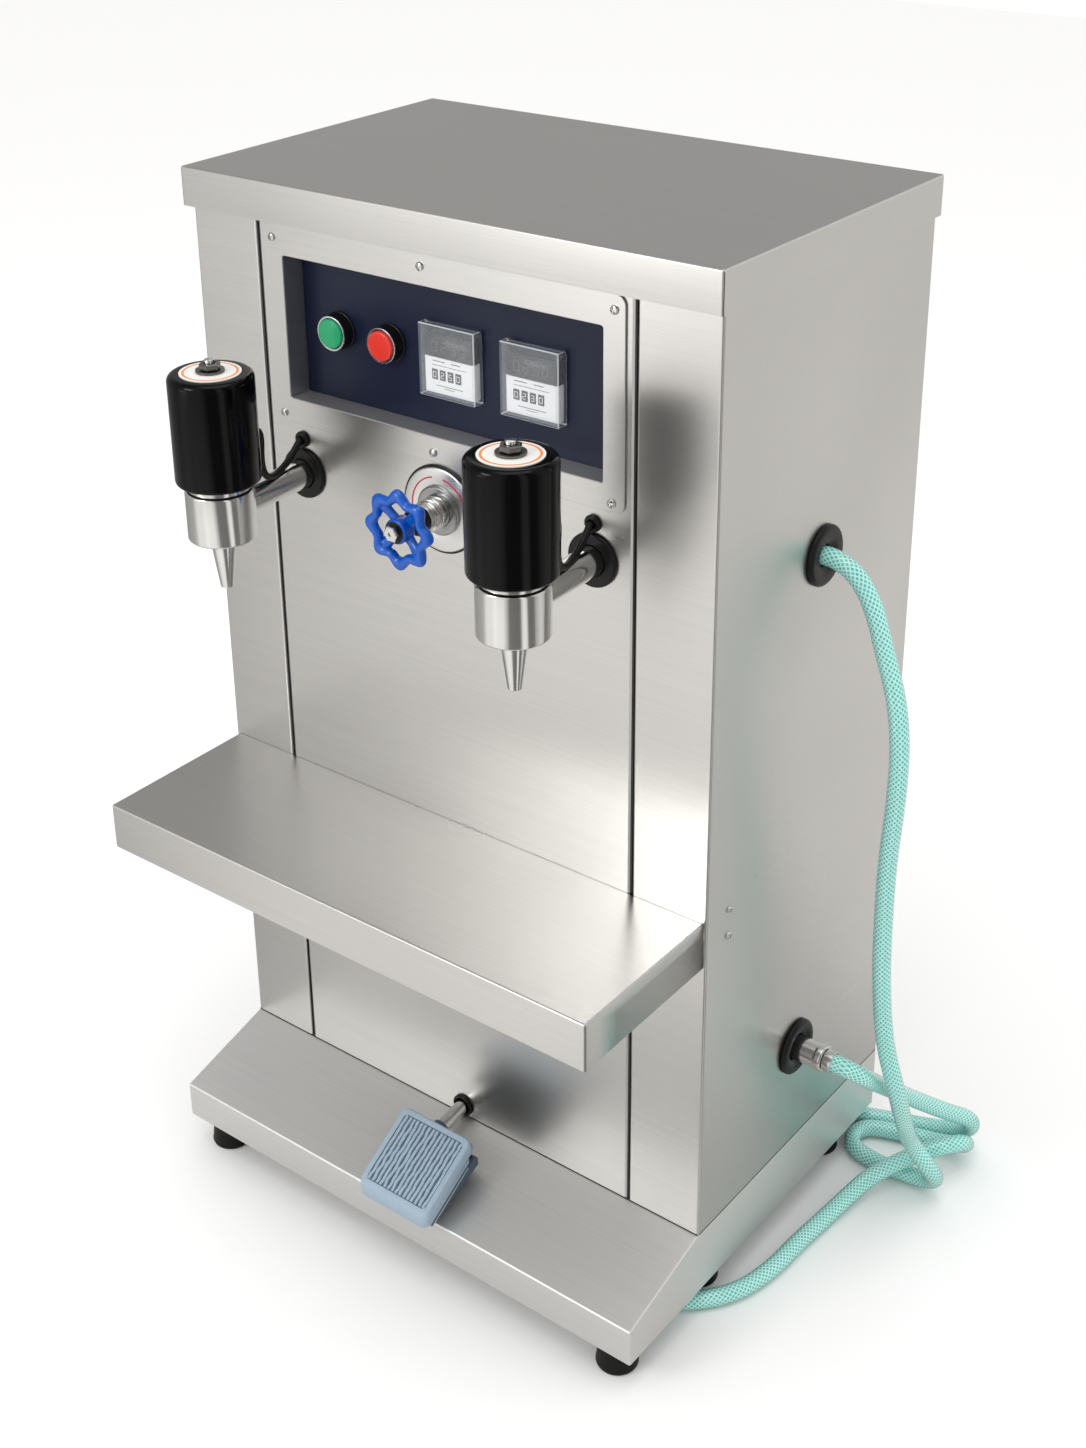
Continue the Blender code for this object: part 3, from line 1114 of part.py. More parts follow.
def hose():
    """The braided hose from the return pipe, over the floor and up to the suction pipe, with its grommets."""
    ends = (
        ("upper_hose_grommet", HOSE_Y, HOSE_TOP_Z, HOSE_RADIUS + 0.0006),
        ("lower_hose_grommet", SPIGOT_Y, SPIGOT_Z, SPIGOT_RADIUS + TOUCH),
    )
    for name, hose_y, hose_z, inner in ends:
        bm = bmesh.new()
        grommet(bm, (SIDE, hose_y, hose_z), (1, 0, 0), HOSE_GROMMET_RADIUS, GROMMET_NECK, inner, 0.006)
        place(name, bm, BLACK_RUBBER)
    line = [HOSE_ROUTE[0], *smooth_route(HOSE_ROUTE[1:-1], HOSE_SPACING), HOSE_ROUTE[-1]]
    cord("hose", line, HOSE_RADIUS, HOSE_GREEN)


# Sizes and places that several pieces share
SHELF_SCREWS = ((FRONT + 0.031, SHELF_TOP - 0.0022), (FRONT + 0.031, SHELF_TOP - 0.026))
SHELF_BOLTS = (SIDE - 0.038,)
FOOT_STUD = 0.004
FOOT_INSET = 0.028
FOOT_ROWS = (FRONT - 0.074, FRONT + 0.045, BACK - 0.050)
PLATE_SCREWS = (
    (-0.163, PLATE_TOP - 0.0115), (-0.012, PLATE_TOP - 0.010), (0.163, PLATE_TOP - 0.0115),
    (-0.161, PLATE_BOTTOM + 0.007), (-0.005, PLATE_BOTTOM + 0.0077), (0.161, PLATE_BOTTOM + 0.007),
)
GROMMET_NECK = 0.0145
BEZEL_STAND = 0.0075
BEZEL_BOTTOM = TIMER_CENTRE - COVER_HEIGHT / 2 + COVER_WALL + 0.0008
BEZEL_TOP = BEZEL_BOTTOM + 0.0473
TIMER_MIDDLE = (BEZEL_BOTTOM + BEZEL_TOP) / 2
HINGE_Y = INSTRUMENT_FACE - 0.0045
HINGE_Z = TIMER_CENTRE + COVER_HEIGHT / 2 - 0.0042
EAR_RADIUS = 0.0025
EAR_WIDTH = 0.0032
TIP_NECK = 0.0078
TIP_SPIGOT = 0.008
PIPE_BLOCK = 0.030
ARM_SOCKET = 0.010
MANIFOLD_Y = FRONT + 0.052
ARM_LENGTH = MANIFOLD_Y - PIPE_BLOCK / 2 + ARM_SOCKET - NOZZLE_Y - 0.0135 - TOUCH
RETURN_X = 0.0
HOSE_SPACING = 0.034
FRONT_HOLES = (
    (-NOZZLE_X, ARM_Z, ARM_RADIUS + 0.0025 + TOUCH), (NOZZLE_X, ARM_Z, ARM_RADIUS + 0.0025 + TOUCH),
    (-NOZZLE_X, LEAD_Z, LEAD_RADIUS + 0.0018 + TOUCH), (NOZZLE_X, LEAD_Z, LEAD_RADIUS + 0.0018 + TOUCH),
    (0, VALVE_Z, BONNET_RADIUS + TOUCH), (PEDAL_ARM_X, PEDAL_ARM_Z, PEDAL_ARM_RADIUS + 0.0024 + TOUCH),
    *((screw_x, screw_z, 0.0021) for screw_x, screw_z in PLATE_SCREWS),
)
HOSE_ROUTE = (
    (0.2400, 0.0745, 0.6487), (0.2580, 0.0745, 0.6487), (0.2690, 0.0745, 0.6465), (0.2820, 0.0745, 0.6375),
    (0.2950, 0.0745, 0.6175), (0.3061, 0.0745, 0.5857), (0.3187, 0.0750, 0.5459), (0.3237, 0.0762, 0.5078),
    (0.3222, 0.0800, 0.4564), (0.3167, 0.0850, 0.3965), (0.3139, 0.0900, 0.3443), (0.3142, 0.0940, 0.2743),
    (0.3185, 0.1000, 0.2107), (0.3282, 0.1090, 0.1563), (0.3284, 0.1280, 0.1114), (0.3257, 0.1539, 0.0680),
    (0.3345, 0.1579, 0.0530), (0.3412, 0.1663, 0.0360), (0.3406, 0.1769, 0.0190), (0.3293, 0.1820, 0.0092),
    (0.3114, 0.1799, 0.0080), (0.2933, 0.1777, 0.0080), (0.2700, 0.1782, 0.0080), (0.2530, 0.1838, 0.0080),
    (0.2455, 0.1995, 0.0080), (0.2517, 0.2143, 0.0080), (0.2662, 0.2205, 0.0080), (0.2905, 0.2294, 0.0080),
    (0.3138, 0.2359, 0.0080), (0.3327, 0.2378, 0.0130), (0.3442, 0.2308, 0.0250), (0.3439, 0.2155, 0.0360),
    (0.3324, 0.1988, 0.0370), (0.3160, 0.1833, 0.0300), (0.3032, 0.1647, 0.0248), (0.2899, 0.1429, 0.0165),
    (0.2830, 0.1132, 0.0100), (0.2791, 0.0796, 0.0080), (0.2760, 0.0469, 0.0080), (0.2740, 0.0090, 0.0080),
    (0.2640, -0.0330, 0.0080), (0.2390, -0.0660, 0.0080), (0.1980, -0.0900, 0.0080),
    (0.1480, -0.1000, 0.0080), (0.1020, -0.0740, 0.0080), (0.0820, -0.0180, 0.0080),
    (0.0860, 0.0550, 0.0080), (0.1050, 0.1200, 0.0080), (0.1380, 0.1700, 0.0080), (0.1780, 0.2000, 0.0080),
    (0.2101, 0.2142, 0.0080), (0.2292, 0.2224, 0.0080), (0.2525, 0.2320, 0.0080), (0.2827, 0.2443, 0.0080),
    (0.3073, 0.2526, 0.0090), (0.3257, 0.2558, 0.0140), (0.3389, 0.2503, 0.0280), (0.3404, 0.2415, 0.0440),
    (0.3305, 0.2206, 0.0600), (0.3158, 0.1914, 0.0840), (0.3053, 0.1566, 0.1140), (0.3091, 0.1180, 0.1484),
    (0.3084, 0.0960, 0.1677), (0.3068, 0.0800, 0.1826), (0.2950, 0.0705, 0.1921), (0.2803, 0.0705, 0.1921),
)

for old in list(bpy.data.objects):
    bpy.data.objects.remove(old, do_unlink=True)
cabinet()
feet()
shelf()
control_plates()
buttons()
timers()
nozzles()
valve()
grommets()
pedal()
pump()
hose()
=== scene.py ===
import math

import bmesh
import bpy
from mathutils import Matrix, Vector, noise


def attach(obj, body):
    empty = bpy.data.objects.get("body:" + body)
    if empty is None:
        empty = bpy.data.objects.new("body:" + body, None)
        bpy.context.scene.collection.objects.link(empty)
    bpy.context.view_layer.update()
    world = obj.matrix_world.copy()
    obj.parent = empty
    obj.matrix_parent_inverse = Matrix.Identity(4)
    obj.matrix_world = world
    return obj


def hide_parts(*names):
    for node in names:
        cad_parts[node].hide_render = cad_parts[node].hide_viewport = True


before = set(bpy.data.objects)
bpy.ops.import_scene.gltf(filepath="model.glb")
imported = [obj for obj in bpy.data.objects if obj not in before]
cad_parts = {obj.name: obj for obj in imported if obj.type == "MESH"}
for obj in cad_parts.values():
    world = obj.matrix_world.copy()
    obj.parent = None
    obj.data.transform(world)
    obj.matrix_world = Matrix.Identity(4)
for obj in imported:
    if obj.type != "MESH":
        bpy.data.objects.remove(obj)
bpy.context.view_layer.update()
scene = bpy.context.scene
scene.view_settings.view_transform = "Standard"
scene.view_settings.look = "None"

# Camera: a high three-quarter view from the right of the controls, with a slight roll. Its place, lens and
# shifts were solved from the straight edges of the cabinet.
turn_left = math.radians(38.639)
look_down = math.radians(24.099)
roll = math.radians(-1.106)
camera_data = bpy.data.cameras.new("camera")
camera_data.lens = 49.71
camera_data.sensor_width = 36
camera_data.shift_x = 0.0274
camera_data.shift_y = -0.1273
camera_data.clip_start = 0.05
camera = bpy.data.objects.new("camera", camera_data)
scene.collection.objects.link(camera)
forward = Vector((
    -math.sin(turn_left) * math.cos(look_down),
    math.cos(turn_left) * math.cos(look_down),
    -math.sin(look_down),
))
level = Vector((math.cos(turn_left), math.sin(turn_left), 0))
above = level.cross(forward)
camera_x = level * math.cos(roll) + above * math.sin(roll)
camera_y = above * math.cos(roll) - level * math.sin(roll)
camera.matrix_world = Matrix.Translation((0.920176, -1.150840, 1.281754)) @ Matrix(
    (camera_x, camera_y, -forward)
).transposed().to_4x4()
scene.camera = camera

# Floor: a large white sheet under the machine. It stays white to the camera and takes a soft shadow round the
# feet. To the steel it shows a dimmer copy of the room in painted light: painted shade near the machine, and
# painted pale and dark cards further out.


def shader(name):
    """A new material with its Principled shader, nodes and links."""
    made = bpy.data.materials.new(name)
    made.use_nodes = True
    tree = made.node_tree
    return made, tree.nodes["Principled BSDF"], tree.nodes, tree.links


def card_ring(nodes, links, spot, colour, gain):
    """Pale and dark cards round the machine, as shares of a full turn that starts in front; on the floor,
    painted light.
    """
    stops = (
        (0.00, 1.12 * gain), (0.03, 1.18 * gain), (0.06, 1.02 * gain), (0.10, 1.04 * gain), (0.118, 0.86),
        (0.137, 0.60), (0.16, 0.50), (0.25, 0.42), (0.42, 0.42), (0.50, 0.55), (0.585, 0.98), (0.612, 0.96),
        (0.635, 0.66), (0.68, 0.86), (0.72, 0.62), (0.745, 0.22), (0.785, 0.20), (0.805, 1.10), (0.825, 1.10),
        (0.85, 0.20), (0.92, 0.22), (0.945, 0.70), (0.965, 1.12 * gain), (1.00, 1.12 * gain),
    )
    split = nodes.new("ShaderNodeSeparateXYZ")
    links.new(spot, split.inputs["Vector"])
    bearing = nodes.new("ShaderNodeMath")
    bearing.operation = "ARCTAN2"
    links.new(split.outputs["X"], bearing.inputs[0])
    links.new(split.outputs["Y"], bearing.inputs[1])
    turn = nodes.new("ShaderNodeMapRange")
    turn.inputs["From Min"].default_value = -math.pi
    turn.inputs["From Max"].default_value = math.pi
    links.new(bearing.outputs["Value"], turn.inputs["Value"])
    cards = nodes.new("ShaderNodeValToRGB")
    ramp = cards.color_ramp
    ramp.interpolation = "EASE"
    while len(ramp.elements) < len(stops):
        ramp.elements.new(0.5)
    for element, (place, level) in zip(ramp.elements, stops):
        element.position = place
        element.color = (*(level * part for part in colour), 1)
    links.new(turn.outputs["Result"], cards.inputs["Fac"])
    return split.outputs["Z"], cards.outputs["Color"]
floor_bm = bmesh.new()
below_feet = Matrix.Translation((0, 0, -0.0004))
bmesh.ops.create_grid(floor_bm, x_segments=1, y_segments=1, size=6, matrix=below_feet)
floor_mesh = bpy.data.meshes.new("floor")
floor_bm.to_mesh(floor_mesh)
floor_bm.free()
floor = bpy.data.objects.new("floor", floor_mesh)
scene.collection.objects.link(floor)
floor_paint, bsdf, nodes, links = shader("white floor")
bsdf.inputs["Roughness"].default_value = 0.9
bsdf.inputs["Specular IOR Level"].default_value = 0.0
seen = nodes.new("ShaderNodeLightPath")
where = nodes.new("ShaderNodeTexCoord")
floor_tone = (0.78, 0.77, 0.755)
_, card_colour = card_ring(nodes, links, where.outputs["Object"], floor_tone, 0.91)
mirrored = nodes.new("ShaderNodeMix")
mirrored.data_type = "RGBA"
mirrored.inputs["A"].default_value = (*floor_tone, 1)
# Painted shade: within about half a metre of the machine the steel sees a darker floor (0.57), with the
# painted cards beyond.
away = nodes.new("ShaderNodeVectorMath")
away.operation = "LENGTH"
links.new(where.outputs["Object"], away.inputs[0])
beyond = nodes.new("ShaderNodeMapRange")
beyond.inputs["From Min"].default_value = 0.34
beyond.inputs["From Max"].default_value = 0.56
links.new(away.outputs["Value"], beyond.inputs["Value"])
painted_shade_then_cards = nodes.new("ShaderNodeMix")
painted_shade_then_cards.data_type = "RGBA"
painted_shade_then_cards.inputs["A"].default_value = (0.57, 0.565, 0.555, 1)
links.new(card_colour, painted_shade_then_cards.inputs["B"])
links.new(beyond.outputs["Result"], painted_shade_then_cards.inputs["Factor"])
links.new(painted_shade_then_cards.outputs["Result"], mirrored.inputs["B"])
links.new(seen.outputs["Is Glossy Ray"], mirrored.inputs["Factor"])
tone = nodes.new("ShaderNodeMix")
tone.data_type = "RGBA"
tone.inputs["B"].default_value = (0.97, 0.97, 0.97, 1)
links.new(mirrored.outputs["Result"], tone.inputs["A"])
links.new(seen.outputs["Is Camera Ray"], tone.inputs["Factor"])
links.new(tone.outputs["Result"], bsdf.inputs["Base Color"])
floor_mesh.materials.append(floor_paint)

# Studio: the room round the machine. It is white to the camera, and softer in reflections, where cards
# stand round the machine and it is dimmer behind the machine and overhead.
world = bpy.data.worlds.new("studio")
scene.world = world
world.use_nodes = True
nodes, links = world.node_tree.nodes, world.node_tree.links
room = nodes["Background"]
where = nodes.new("ShaderNodeTexCoord")
upward, card_colour = card_ring(nodes, links, where.outputs["Generated"], (1.0, 0.995, 0.985), 0.86)
height = nodes.new("ShaderNodeMapRange")
height.inputs["From Min"].default_value = 0.15
height.inputs["From Max"].default_value = 1.0
height.inputs["To Min"].default_value = 1.0
height.inputs["To Max"].default_value = 0.75
links.new(upward, height.inputs["Value"])
seen = nodes.new("ShaderNodeLightPath")
even = nodes.new("ShaderNodeMath")
even.operation = "MAXIMUM"
links.new(seen.outputs["Is Camera Ray"], even.inputs[0])
links.new(seen.outputs["Is Diffuse Ray"], even.inputs[1])
level_mix = nodes.new("ShaderNodeMix")
level_mix.inputs["B"].default_value = 1.02
links.new(even.outputs["Value"], level_mix.inputs["Factor"])
links.new(height.outputs["Result"], level_mix.inputs["A"])
links.new(level_mix.outputs["Result"], room.inputs["Strength"])
colour_mix = nodes.new("ShaderNodeMix")
colour_mix.data_type = "RGBA"
colour_mix.inputs["B"].default_value = (1, 0.995, 0.985, 1)
links.new(even.outputs["Value"], colour_mix.inputs["Factor"])
links.new(card_colour, colour_mix.inputs["A"])
links.new(colour_mix.outputs["Result"], room.inputs["Color"])

# Lamps: three soft boxes. A broad one hangs overhead, one stands in front on the left, and a low card on
# that side points up at the controls.
for name, place, target, size, power in (
    ("overhead soft box", (0.3, -0.2, 2.9), (0, 0, 0.4), (1.8, 1.8), 16),
    ("front soft box", (-0.70, -1.95, 1.65), (0.25, 0, 0.4), (0.75, 0.75), 12),
    ("low front card", (-1.70, -3.00, 0.12), (0.1, 0, 0.85), (1.2, 0.7), 7),
):
    lamp_data = bpy.data.lights.new(name, "AREA")
    lamp_data.shape = "RECTANGLE"
    lamp_data.size, lamp_data.size_y = size
    lamp_data.energy = power
    lamp = bpy.data.objects.new(name, lamp_data)
    lamp.location = place
    lamp.rotation_euler = (Vector(target) - Vector(place)).to_track_quat("-Z", "Y").to_euler()
    scene.collection.objects.link(lamp)

# Lid: one brushed stainless sheet folded down on four sides, with its corners closed by a fine seam. Every
# brushed or turned steel has the same grain, fine parallel scratches and a faint cloudiness.
grain = bpy.data.node_groups.new("brushed grain", "ShaderNodeTree")
for way, sockets in (
    ("INPUT", (("Steel", "Color"), ("Stretch", "Vector"), ("Depth", "Float"))),
    ("OUTPUT", (("Colour", "Color"), ("Roughness", "Float"), ("Normal", "Vector"))),
):
    for name, kind in sockets:
        grain.interface.new_socket(name, in_out=way, socket_type="NodeSocket" + kind)
nodes, links = grain.nodes, grain.links
given = nodes.new("NodeGroupInput")
result = nodes.new("NodeGroupOutput")
where = nodes.new("ShaderNodeTexCoord")
stretch = nodes.new("ShaderNodeVectorMath")
stretch.operation = "MULTIPLY"
links.new(where.outputs["Object"], stretch.inputs[0])
links.new(given.outputs["Stretch"], stretch.inputs[1])
lines = nodes.new("ShaderNodeTexNoise")
lines.inputs["Scale"].default_value = 1.0
lines.inputs["Detail"].default_value = 2.0
links.new(stretch.outputs["Vector"], lines.inputs["Vector"])
cloud = nodes.new("ShaderNodeTexNoise")
cloud.inputs["Scale"].default_value = 4.0
cloud.inputs["Detail"].default_value = 2.0
links.new(where.outputs["Object"], cloud.inputs["Vector"])
shade = nodes.new("ShaderNodeMapRange")
shade.inputs["From Min"].default_value = 0.3
shade.inputs["From Max"].default_value = 0.7
shade.inputs["To Min"].default_value = 0.955
shade.inputs["To Max"].default_value = 1.025
links.new(lines.outputs["Fac"], shade.inputs["Value"])
tint = nodes.new("ShaderNodeVectorMath")
tint.operation = "SCALE"
links.new(given.outputs["Steel"], tint.inputs[0])
links.new(shade.outputs["Result"], tint.inputs["Scale"])
links.new(tint.outputs["Vector"], result.inputs["Colour"])
rough = nodes.new("ShaderNodeMapRange")
rough.inputs["From Min"].default_value = 0.35
rough.inputs["From Max"].default_value = 0.65
rough.inputs["To Min"].default_value = 0.27
rough.inputs["To Max"].default_value = 0.36
links.new(cloud.outputs["Fac"], rough.inputs["Value"])
links.new(rough.outputs["Result"], result.inputs["Roughness"])
bump = nodes.new("ShaderNodeBump")
bump.inputs["Distance"].default_value = 0.0002
links.new(lines.outputs["Fac"], bump.inputs["Height"])
links.new(given.outputs["Depth"], bump.inputs["Strength"])
links.new(bump.outputs["Normal"], result.inputs["Normal"])


def steel(name, colour, stretch, depth=0.05, roughness=None, metallic=1.0):
    """A steel with grain that runs along the axis with the smallest stretch."""
    made, bsdf, nodes, links = shader(name)
    scratches = nodes.new("ShaderNodeGroup")
    scratches.node_tree = grain
    scratches.inputs["Steel"].default_value = (*colour, 1)
    scratches.inputs["Stretch"].default_value = stretch
    scratches.inputs["Depth"].default_value = depth
    links.new(scratches.outputs["Colour"], bsdf.inputs["Base Color"])
    links.new(scratches.outputs["Normal"], bsdf.inputs["Normal"])
    if roughness is None:
        links.new(scratches.outputs["Roughness"], bsdf.inputs["Roughness"])
    else:
        bsdf.inputs["Roughness"].default_value = roughness
    bsdf.inputs["Metallic"].default_value = metallic
    return made


def plain(name, colour, roughness, metallic=0.0, coat=0.0, specular=0.5):
    """A smooth material of one colour with a little unevenness in its gloss."""
    made, bsdf, nodes, links = shader(name)
    where = nodes.new("ShaderNodeTexCoord")
    mottle = nodes.new("ShaderNodeTexNoise")
    mottle.inputs["Scale"].default_value = 60.0
    links.new(where.outputs["Object"], mottle.inputs["Vector"])
    span = nodes.new("ShaderNodeMapRange")
    span.inputs["To Min"].default_value = roughness * 0.85
    span.inputs["To Max"].default_value = roughness * 1.15
    links.new(mottle.outputs["Fac"], span.inputs["Value"])
    links.new(span.outputs["Result"], bsdf.inputs["Roughness"])
    bsdf.inputs["Base Color"].default_value = (*colour, 1)
    bsdf.inputs["Metallic"].default_value = metallic
    bsdf.inputs["Coat Weight"].default_value = coat
    bsdf.inputs["Specular IOR Level"].default_value = specular
    return made


sheet_steel = steel("brushed sheet", (0.66, 0.65, 0.63), (6, 1500, 1500), 0.04)
# Dark joints between the sheets; the same dark is also painted shade in the screw slots.
dark_joint_and_slot_shade = plain("dark joint", (0.02, 0.02, 0.02), 0.6)
sheet_thickness = 0.0015
front, back = -0.075, 0.225
lid_half = 0.2535


def build(name, bm, material, body, slot, *nodes_replaced, angle=35, clean=True):
    """Makes the piece from its bmesh, puts it on the body it moves with, and hides the solids it stands for.
    """
    if clean:
        bmesh.ops.remove_doubles(bm, verts=bm.verts, dist=1e-6)
        bmesh.ops.recalc_face_normals(bm, faces=bm.faces)
    mesh = bpy.data.meshes.new(name)
    bm.to_mesh(mesh)
    bm.free()
    mesh.shade_smooth()
    mesh.set_sharp_from_angle(angle=math.radians(angle))
    made = bpy.data.objects.new(name, mesh)
    scene.collection.objects.link(made)
    for finish in material if isinstance(material, tuple) else (material,):
        mesh.materials.append(finish)
    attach(made, body)
    if nodes_replaced:
        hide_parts(*nodes_replaced)
    return made


def apply_steps(made):
    """Turns the piece's modifiers into mesh."""
    bpy.context.view_layer.update()
    shaped = bpy.data.meshes.new_from_object(made.evaluated_get(bpy.context.evaluated_depsgraph_get()))
    made.modifiers.clear()
    old = made.data
    made.data = shaped
    bpy.data.meshes.remove(old)


def keep_flat(made):
    """Keeps the faces of a folded sheet flat in the light, up to its rounded edges."""
    made.modifiers.new("flat faces", "WEIGHTED_NORMAL").keep_sharp = True


def thicken(made):
    """Gives a folded sheet its thickness on the inside."""
    shell = made.modifiers.new("sheet", "SOLIDIFY")
    shell.thickness = sheet_thickness
    shell.offset = -1
    shell.material_offset = len(made.data.materials) - 1
    apply_steps(made)
    keep_flat(made)


def box(bm, low, high, edges=None, radius=0.0, segments=3, index=0):
    """A block between two corners, with the edges that a test picks rounded."""
    low, high = Vector(low), Vector(high)
    before = set(bm.faces)
    where = Matrix.Translation((low + high) / 2) @ Matrix.Diagonal((*(high - low), 1))
    made = bmesh.ops.create_cube(bm, size=1.0, matrix=where)
    if radius:
        own = {edge for vert in made["verts"] for edge in vert.link_edges}
        picked = [edge for edge in own if edges is None or edges((edge.verts[0].co + edge.verts[1].co) / 2)]
        bmesh.ops.bevel(
            bm, geom=picked, offset=radius, segments=segments, profile=0.5, affect="EDGES", material=-1,
        )
    for face in bm.faces:
        if face not in before:
            face.material_index = index


def open_below(bm):
    """Takes the bottom off a folded tray."""
    bmesh.ops.delete(bm, geom=[face for face in bm.faces if face.normal.z < -0.9], context="FACES")


def corner_seams(name, half, low, high):
    """The dark joint at both front corners of a tray, between two spots given as depth and height."""
    bm = bmesh.new()
    for side in (-1, 1):
        box(bm, (side * half - 0.0001, *low), (side * half + side * 0.00012 + 0.0001, *high))
    build(name, bm, dark_joint_and_slot_shade, "machine", "black_rubber")


bm = bmesh.new()
box(
    bm, (-lid_half, front - 0.008, 0.8787), (lid_half, back + 0.002, 0.9104),
    lambda mid: mid.z > 0.909 or abs(mid.z - 0.8945) < 0.002, 0.0016, 5,
)
open_below(bm)
lid = build("top_lid_sheet", bm, sheet_steel, "machine", "brushed_sheet", "top_lid")
thicken(lid)
corner_seams("lid_corner_seams", lid_half, (front - 0.0072, 0.8789), (front - 0.0067, 0.9086))

# Filling shelf: an inverted tray of the same sheet, closed in front and at both ends, that stands out from
# the cabinet. Its inside keeps the dull finish that the sheet had at the mill.
inner_steel = steel("mill finish steel", (0.66, 0.66, 0.65), (40, 40, 400), 0.02, 0.5, 0.75)
shelf_half = 0.2465
bm = bmesh.new()
box(
    bm, (-shelf_half, front - 0.152, 0.3545), (shelf_half, front - 0.0003, 0.3955),
    lambda mid: mid.y < front - 0.01 and (mid.z > 0.395 or abs(mid.z - 0.375) < 0.002), 0.0016, 5,
)
open_below(bm)
shelf = build(
    "filling_shelf_sheet", bm, (sheet_steel, inner_steel), "machine", "brushed_sheet", "filling_shelf",
)
thicken(shelf)
corner_seams("shelf_corner_seams", shelf_half, (front - 0.1512, 0.3547), (front - 0.1506, 0.3937))

# Base tray: a folded stainless sheet whose front slopes down as an apron. It is open underneath, inside a
# narrow flange that is turned in all round.
# Painted light: the tray's steel is lighter and less metallic than the other sheets, so the apron under the
# shelf shows brighter.
tray_steel_painted_lighter = steel("base sheet painted lighter", (0.80, 0.795, 0.78), (6, 1500, 1500), 0.04, 0.40, 0.74)
half_width = 0.25
nose, tray_low, tray_top = front - 0.0967, 0.030, 0.0912
flange_top = tray_low + sheet_thickness


def slab(bm, outline, travel, index=0):
    """A flat outline pulled straight along, with both ends closed."""
    before = set(bm.faces)
    end = bm.faces.new([bm.verts.new(point) for point in outline])
    grown = bmesh.ops.extrude_face_region(bm, geom=[end])["geom"]
    moved = [part for part in grown if isinstance(part, bmesh.types.BMVert)]
    bmesh.ops.translate(bm, verts=moved, vec=travel)
    bm.normal_update()
    made = [face for face in bm.faces if face not in before]
    bmesh.ops.recalc_face_normals(bm, faces=made)
    for face in made:
        face.material_index = index


bm = bmesh.new()
profile = [(nose, tray_low), (nose, 0.064), (front, tray_top), (back, tray_top), (back, tray_low)]
slab(bm, [(-half_width, y, z) for y, z in profile], (2 * half_width, 0, 0))
open_below(bm)
folds = [edge for edge in bm.edges if len(edge.link_faces) == 2]
bmesh.ops.bevel(bm, geom=folds, offset=0.0015, segments=4, profile=0.5, affect="EDGES", material=-1)
tray = build("base_tray_sheet", bm, tray_steel_painted_lighter, "machine", "brushed_sheet", "base_tray")
thicken(tray)
bm = bmesh.new()
for low_x, high_x, low_y, high_y in (
    (-0.2486, -0.20, nose + 0.0014, back - 0.0014), (0.20, 0.2486, nose + 0.0014, back - 0.0014),
    (-0.1999, 0.1999, nose + 0.0014, nose + 0.05), (-0.1999, 0.1999, back - 0.05, back - 0.0014),
):
    box(bm, (low_x, low_y, tray_low), (high_x, high_y, flange_top))
build("base_flange", bm, sheet_steel, "machine", "brushed_sheet")

# Side panels: each one brushed sheet that wraps round the front corner, with a hem in front and a return
# at the back. The right one is punched for the two ends of the hose.
upper_spot, lower_spot = (half_width, 0.0745, 0.6487), (half_width, 0.0705, 0.1921)


def folded_outline(path, thickness, bend, steps):
    """Outline of a sheet folded along a path; its thickness goes to the left of the direction of travel."""
    near, far = [], []
    for index, point in enumerate(path):
        here = Vector(point)
        before = (here - Vector(path[index - 1])).normalized() if index else None
        after = (Vector(path[index + 1]) - here).normalized() if index < len(path) - 1 else None
        if before is None or after is None:
            along = after or before
            near.append(here)
            far.append(here + thickness * Vector((-along.y, along.x)))
            continue
        side = 1 if before.cross(after) > 0 else -1
        inward = side * Vector((-before.y, before.x))
        onward = side * Vector((-after.y, after.x))
        radius_near = bend if side > 0 else bend - thickness
        radius_far = bend - thickness if side > 0 else bend
        bisector = (inward + onward).normalized()
        centre = here + bisector * radius_near / bisector.dot(inward)
        start = math.atan2(-inward.y, -inward.x)
        sweep = math.atan2(before.cross(after), before.dot(after))
        for step in range(steps + 1):
            ray = Vector((math.cos(start + sweep * step / steps), math.sin(start + sweep * step / steps)))
            near.append(centre + radius_near * ray)
            far.append(centre + radius_far * ray)
    return near + far[::-1]


def pin(bm, centre, radius, length, segments):
    """A round pin that lies across the machine."""
    where = Matrix.Translation(centre) @ Matrix.Rotation(math.pi / 2, 4, "Y")
    bmesh.ops.create_cone(
        bm, cap_ends=True, segments=segments, radius1=radius, radius2=radius, depth=length, matrix=where,
    )


def cut(made, name, bm, crossing=False):
    """Cuts a bmesh's shapes out of a piece, also where these cross each other."""
    mesh = bpy.data.meshes.new(name)
    bm.to_mesh(mesh)
    bm.free()
    cutter = bpy.data.objects.new(name, mesh)
    scene.collection.objects.link(cutter)
    step = made.modifiers.new("cut", "BOOLEAN")
    step.object = cutter
    step.use_self = crossing
    apply_steps(made)
    bpy.data.objects.remove(cutter)


for side, hand in ((1, "right"), (-1, "left")):
    path = [(side * 0.1808, front + 0.012), (side * 0.1808, front), (side * half_width, front)]
    path += [(side * half_width, back), (side * 0.228, back)]
    if side < 0:
        path.reverse()
    bm = bmesh.new()
    outline = folded_outline(path, sheet_thickness, 0.0022, 5)
    slab(bm, [(*point, 0.092) for point in outline], (0, 0, 0.8166))
    panel = build(f"{hand}_side_sheet", bm, sheet_steel, "machine", "brushed_sheet", f"{hand}_side_panel")
    if side > 0:
        bm = bmesh.new()
        for spot in (upper_spot, lower_spot):
            pin(bm, spot, 0.0148, 0.02, 48)
        cut(panel, "hose_holes", bm)
        panel.data.set_sharp_from_angle(angle=math.radians(35))
    keep_flat(panel)

